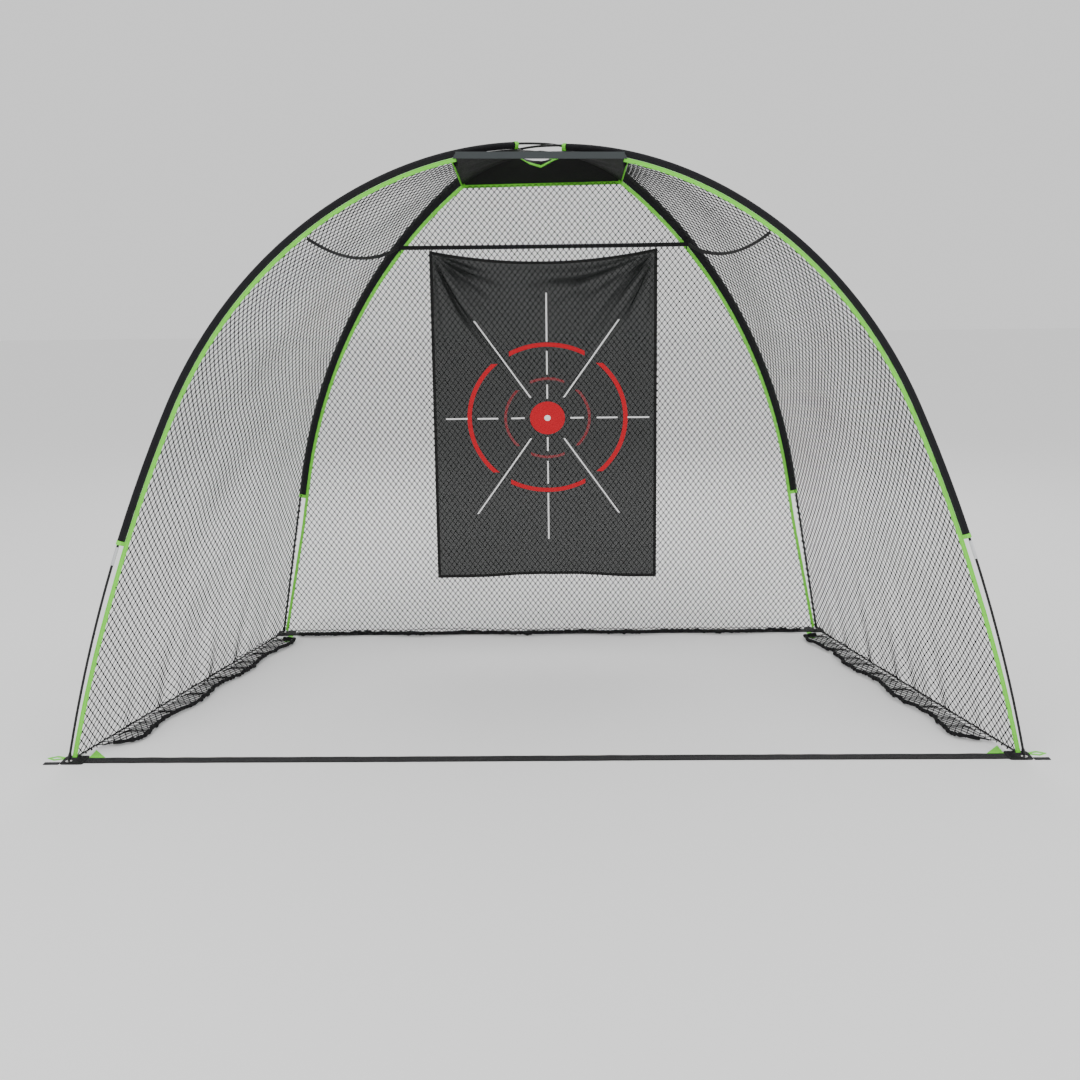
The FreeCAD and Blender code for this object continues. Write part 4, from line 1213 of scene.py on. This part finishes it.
# The sheet's steepness across the view, scaled by FOLD_SHADE, is stored as painted fold shade, which darkens the folds
# through the opacity.
tilt = 1 - np.abs(surface_normals(grid)[..., 1])
steepness = FOLD_SHADE * np.clip((tilt - 0.02) / 0.22, 0.0, 1.0)
layer = target.data.attributes.new("steepness", "FLOAT", "POINT")
layer.data.foreach_set("value", np.tile(steepness.ravel(), 2).astype(np.float32))
finish_piece(target, target_material(), "target_fabric", "target", "target_sheet")

hem_cloth_black = cloth_material("black_hem_tape", (0.005, 0.005, 0.005), 0.6, (0.0012, 0.0012))
run = np.linspace(0.0, 1.0, 260)[:, None]
narrow = np.linspace(0.0, 1.0, 3)[None, :]
tall = TARGET_TOP - TARGET_BOTTOM
hem_grids = {
    "left_target_hem": target_point(-TARGET_HALF + HEM_WIDTH * narrow, run),
    "right_target_hem": target_point(TARGET_HALF - HEM_WIDTH * narrow, run),
    "top_target_hem": target_point(TARGET_HALF * (2 * run - 1), HEM_WIDTH / tall * narrow),
    "bottom_target_hem": target_point(TARGET_HALF * (2 * run - 1), 1 - HEM_WIDTH / tall * narrow)}
hems = []
for name, grid in hem_grids.items():
    extra = 0.0004 if name.startswith(("top", "bottom")) else 0.0
    hem = shell_mesh(name, grid, HEM_THICKNESS + extra)
    hems.append(finish_piece(hem, hem_cloth_black, "black_polyester", "target", "target_hem"))
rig.sheet(target, flat=(2 * TARGET_HALF, tall), held="hung", rests_on=["cross_webbing"], with_pieces=hems)

# ---- ground straps, corner patches and gussets -------------------------------------------------
# Black webbing 50 mm wide joins the two front feet and the two rear feet along the floor. Each
# foot stands in an eyelet in a square patch of doubled webbing with a stitched border.
WEBBING_WIDTH, WEBBING_THICKNESS = 0.050, 0.0018
FRONT_STRAP_Y = 0.010
TAB_THICKNESS = 0.0028
EYELET_HOLE = 0.0056
STITCH_INSET = 0.006


def stitched_material(name, colour, size):
    """Webbing with a line of stitches that runs round inside its edge, from a map about its middle."""
    material, nodes, links, shader = thread_material(name, colour, 0.7)
    flat = flat_map(nodes, links)
    across = value_of(nodes, links, "ABSOLUTE", flat["X"])
    along = value_of(nodes, links, "ABSOLUTE", flat["Y"])
    ring = value_of(nodes, links, "COMPARE", value_of(nodes, links, "MAXIMUM", across, along),
                    size / 2 - STITCH_INSET, 0.0006)
    slant = value_of(nodes, links, "ADD", flat["X"], flat["Y"])
    dash = value_of(nodes, links, "GREATER_THAN",
                    value_of(nodes, links, "FRACT", value_of(nodes, links, "DIVIDE", slant, 0.0036)), 0.3)
    stitch = value_of(nodes, links, "MULTIPLY", ring, dash)
    handled = add_handled(nodes, links, shader, colour, 12.0, 0.2, 0.7)
    mixed = mix_in(nodes, links, stitch, handled.outputs["Colour"], (0.07, 0.07, 0.07))
    links.new(mixed, shader.inputs["Base Color"])
    height = value_of(nodes, links, "MULTIPLY_ADD", stitch, 1.5, place_weave(nodes, 0.0022, 0.0016))
    add_bump(nodes, links, shader, height, 0.5, 0.0006)
    return material


patch_webbing = stitched_material("black_patch_webbing", (0.007, 0.007, 0.008), TAB_SIZE)


def floor_grid(centres, across, width, thickness, seed, columns=5):
    """A ribbon that lies on the floor and lifts off it here and there by a millimetre."""
    lift = 0.0006 * (1 + smooth_noise(np.linspace(0, 1, len(centres)) * 45.0, seed))
    raised = centres + np.array((0.0, 0.0, 1.0)) * (thickness / 2 + lift)[:, None]
    return ribbon_grid(raised, across, width, columns)


for end, middle, seed in (("front", FRONT_STRAP_Y, 41), ("rear", BASE_DEPTH - WEBBING_WIDTH / 2, 42)):
    inside = (FRONT_WIDTH if end == "front" else REAR_WIDTH) / 2 - (TAB_SIZE - TAB_OVERHANG) - 0.0003
    x = np.linspace(-inside, inside, 420)
    centres = np.stack((x, middle + 0.0012 * np.sin(x * 3.1), np.zeros_like(x)), axis=-1)
    across = np.tile((0.0, 1.0, 0.0), (len(x), 1))
    grid = floor_grid(centres, across, WEBBING_WIDTH - 0.003, WEBBING_THICKNESS, seed)
    strap = shell_mesh(end + "_ground_webbing", grid, WEBBING_THICKNESS)
    finish_piece(strap, black_webbing, "black_webbing", "frame", end + "_ground_strap")


def patch_grid(centre, hole, size, rows=8, columns=96):
    """A square patch with a round hole: rays from the hole's edge to the square's outline.

    hole is the middle of the hole and centre that of the square. The outline has corners
    rounded by a fourth-power curve, |x|^8 + |y|^8 = 1.
    """
    turn = np.linspace(0.0, 2 * math.pi, columns, endpoint=False) + math.pi / 4
    circle = hole + EYELET_HOLE * np.stack((np.cos(turn), np.sin(turn)), axis=-1)
    power = (np.abs(np.cos(turn)) ** 8 + np.abs(np.sin(turn)) ** 8) ** (-1 / 8)
    square = centre + size / 2 * power[:, None] * np.stack((np.cos(turn), np.sin(turn)), axis=-1)
    share = np.linspace(0.0, 1.0, rows)[:, None, None]
    plane = circle[None] * (1 - share) + square[None] * share
    lift = 0.0003 * np.sin(plane[..., 0] * 160.0) * np.sin(plane[..., 1] * 140.0) * share[..., 0]
    return np.concatenate((plane, (TAB_THICKNESS / 2 + 0.0001 + np.abs(lift))[..., None]), axis=-1)


for end, side in CORNERS:
    place = foot(end, side)[:2]
    inward = np.array((-side, 1.0 if end == "front" else -1.0))
    centre = place + inward * (TAB_SIZE / 2 - TAB_OVERHANG)
    grid = patch_grid(centre, place, TAB_SIZE - 0.001)[:, ::-1]
    patch = shell_mesh("%s_%s_patch" % (end, SIDE_NAMES[side]), grid, TAB_THICKNESS - 0.0002, closed=True,
                       flat=grid[..., :2] - centre)
    finish_piece(patch, patch_webbing, "black_webbing", "frame", end + "_corners")

GUSSET = (0.056, 0.074)
for side in (-1, 1):
    corner = np.array((side * (FRONT_WIDTH / 2 - 0.0555), FRONT_STRAP_Y + WEBBING_WIDTH / 2 + 0.001, 0.0))
    share = np.linspace(0.0, 0.96, 24)[:, None]
    near = corner + np.array((0.0, GUSSET[1], 0.0)) * share
    far = near - np.array((side * GUSSET[0], 0.0, 0.0)) * (1 - share)
    w = np.linspace(0.0, 1.0, 12)[None, :, None]
    grid = near[:, None] * (1 - w) + far[:, None] * w
    grid[..., 2] = 0.0012 + 0.0008 * np.sin(w[..., 0] * 5.0) * share
    gusset = shell_mesh("%s_gusset" % SIDE_NAMES[side], grid[:, ::-side], 0.0016)
    finish_piece(gusset, green_tape, "green_tape", "frame", "corner_gussets")

# ---- peg loops and strap tails -----------------------------------------------------------------
# Outside each front foot is an open diamond of green webbing for a ground peg, and beside it the
# loose tail of the black strap. The rear loops are flat folded strips inside the base.
LOOP_LENGTH, LOOP_WIDTH, LOOP_WEBBING = 0.058, 0.040, 0.009
STRIP_LENGTH, STRIP_WIDTH = 0.092, 0.022
TAIL_LENGTH, TAIL_WIDTH = 0.052, 0.022
HINGE_GAP = 0.002

green_webbing = cloth_material("lime_webbing", LIME, 0.7, (0.0018, 0.0014), bump=0.5)


def loop_grid(root, side, steps=16, columns=3):
    """A closed diamond band: the way from its outer outline to its inner one, right round.

    The outlines are five-cornered, cut square at the hinge, and the inner one is set in by a webbing.
    """
    outlines = []
    for margin in (0.0, LOOP_WEBBING):
        half, length = LOOP_WIDTH / 2 - margin, LOOP_LENGTH - 2 * margin
        hinge = half * 0.4
        corners = np.array([(0, -hinge), (length / 2, -half), (length, 0), (length / 2, half), (0, hinge)])
        corners = (corners + (margin, 0)) * (side, 1) + root[:2]
        ahead = np.roll(corners, -1, axis=0)
        share = np.linspace(0.0, 1.0, steps, endpoint=False)[None, :, None]
        outlines.append((corners[:, None] * (1 - share) + ahead[:, None] * share).reshape(-1, 2))
    share = np.linspace(0.0, 1.0, columns)[:, None, None]
    plane = outlines[0][None] * (1 - share) + outlines[1][None] * share
    height = np.full(plane.shape[:2] + (1,), WEBBING_THICKNESS / 2 + 0.0001)
    return np.concatenate((plane, height), axis=-1)


for side in (-1, 1):
    side_name = SIDE_NAMES[side]
    outer = side * (FRONT_WIDTH / 2 + TAB_OVERHANG + HINGE_GAP)
    root = np.array((outer, (TAB_SIZE - TAB_OVERHANG) - LOOP_WIDTH / 2, 0.0))
    grid = loop_grid(root, side)
    loop = shell_mesh("front_%s_loop_webbing" % side_name, grid[:, ::side], WEBBING_THICKNESS, closed=True)
    finish_piece(loop, green_webbing, "green_webbing", "front_%s_peg_loop_body" % side_name,
                 "front_%s_peg_loop" % side_name)
    x = outer + side * np.linspace(0.0, TAIL_LENGTH, 40)
    y = np.full_like(x, -TAB_OVERHANG + TAIL_WIDTH / 2)
    centres = np.stack((x, y, np.full_like(x, WEBBING_THICKNESS / 2 + 0.0001)), axis=-1)
    grid = ribbon_grid(centres, np.tile((0.0, float(side), 0.0), (40, 1)), TAIL_WIDTH - 0.001)
    tail = shell_mesh("front_%s_tail_webbing" % side_name, grid, WEBBING_THICKNESS)
    finish_piece(tail, black_webbing, "black_webbing", "front_%s_strap_tail_body" % side_name,
                 "front_%s_strap_tail" % side_name)
    inner = side * (REAR_WIDTH / 2 - (TAB_SIZE - TAB_OVERHANG))
    top = BASE_DEPTH - (TAB_SIZE - TAB_OVERHANG) - HINGE_GAP
    y = np.linspace(top, top - STRIP_LENGTH, 40)
    centres = np.stack((np.full_like(y, inner + side * STRIP_WIDTH / 2), y,
                        np.full_like(y, WEBBING_THICKNESS / 2 + 0.0001)), axis=-1)
    grid = ribbon_grid(centres, np.tile((1.0, 0.0, 0.0), (40, 1)), STRIP_WIDTH - 0.001)
    strip = shell_mesh("rear_%s_loop_webbing" % side_name, grid, WEBBING_THICKNESS)
    finish_piece(strip, green_webbing, "green_webbing", "rear_%s_peg_loop_body" % side_name,
                 "rear_%s_peg_loop" % side_name)

# ---- finish -----------------------------------------------------------------------------------
# The sizes of the CAD model and of the finished model are written down side by side.
visual_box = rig.bounds()
with open("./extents.json", "w") as size_file:
    json.dump({"cad": [list(corner) for corner in cad_box], "visual": [list(corner) for corner in visual_box]},
              size_file)
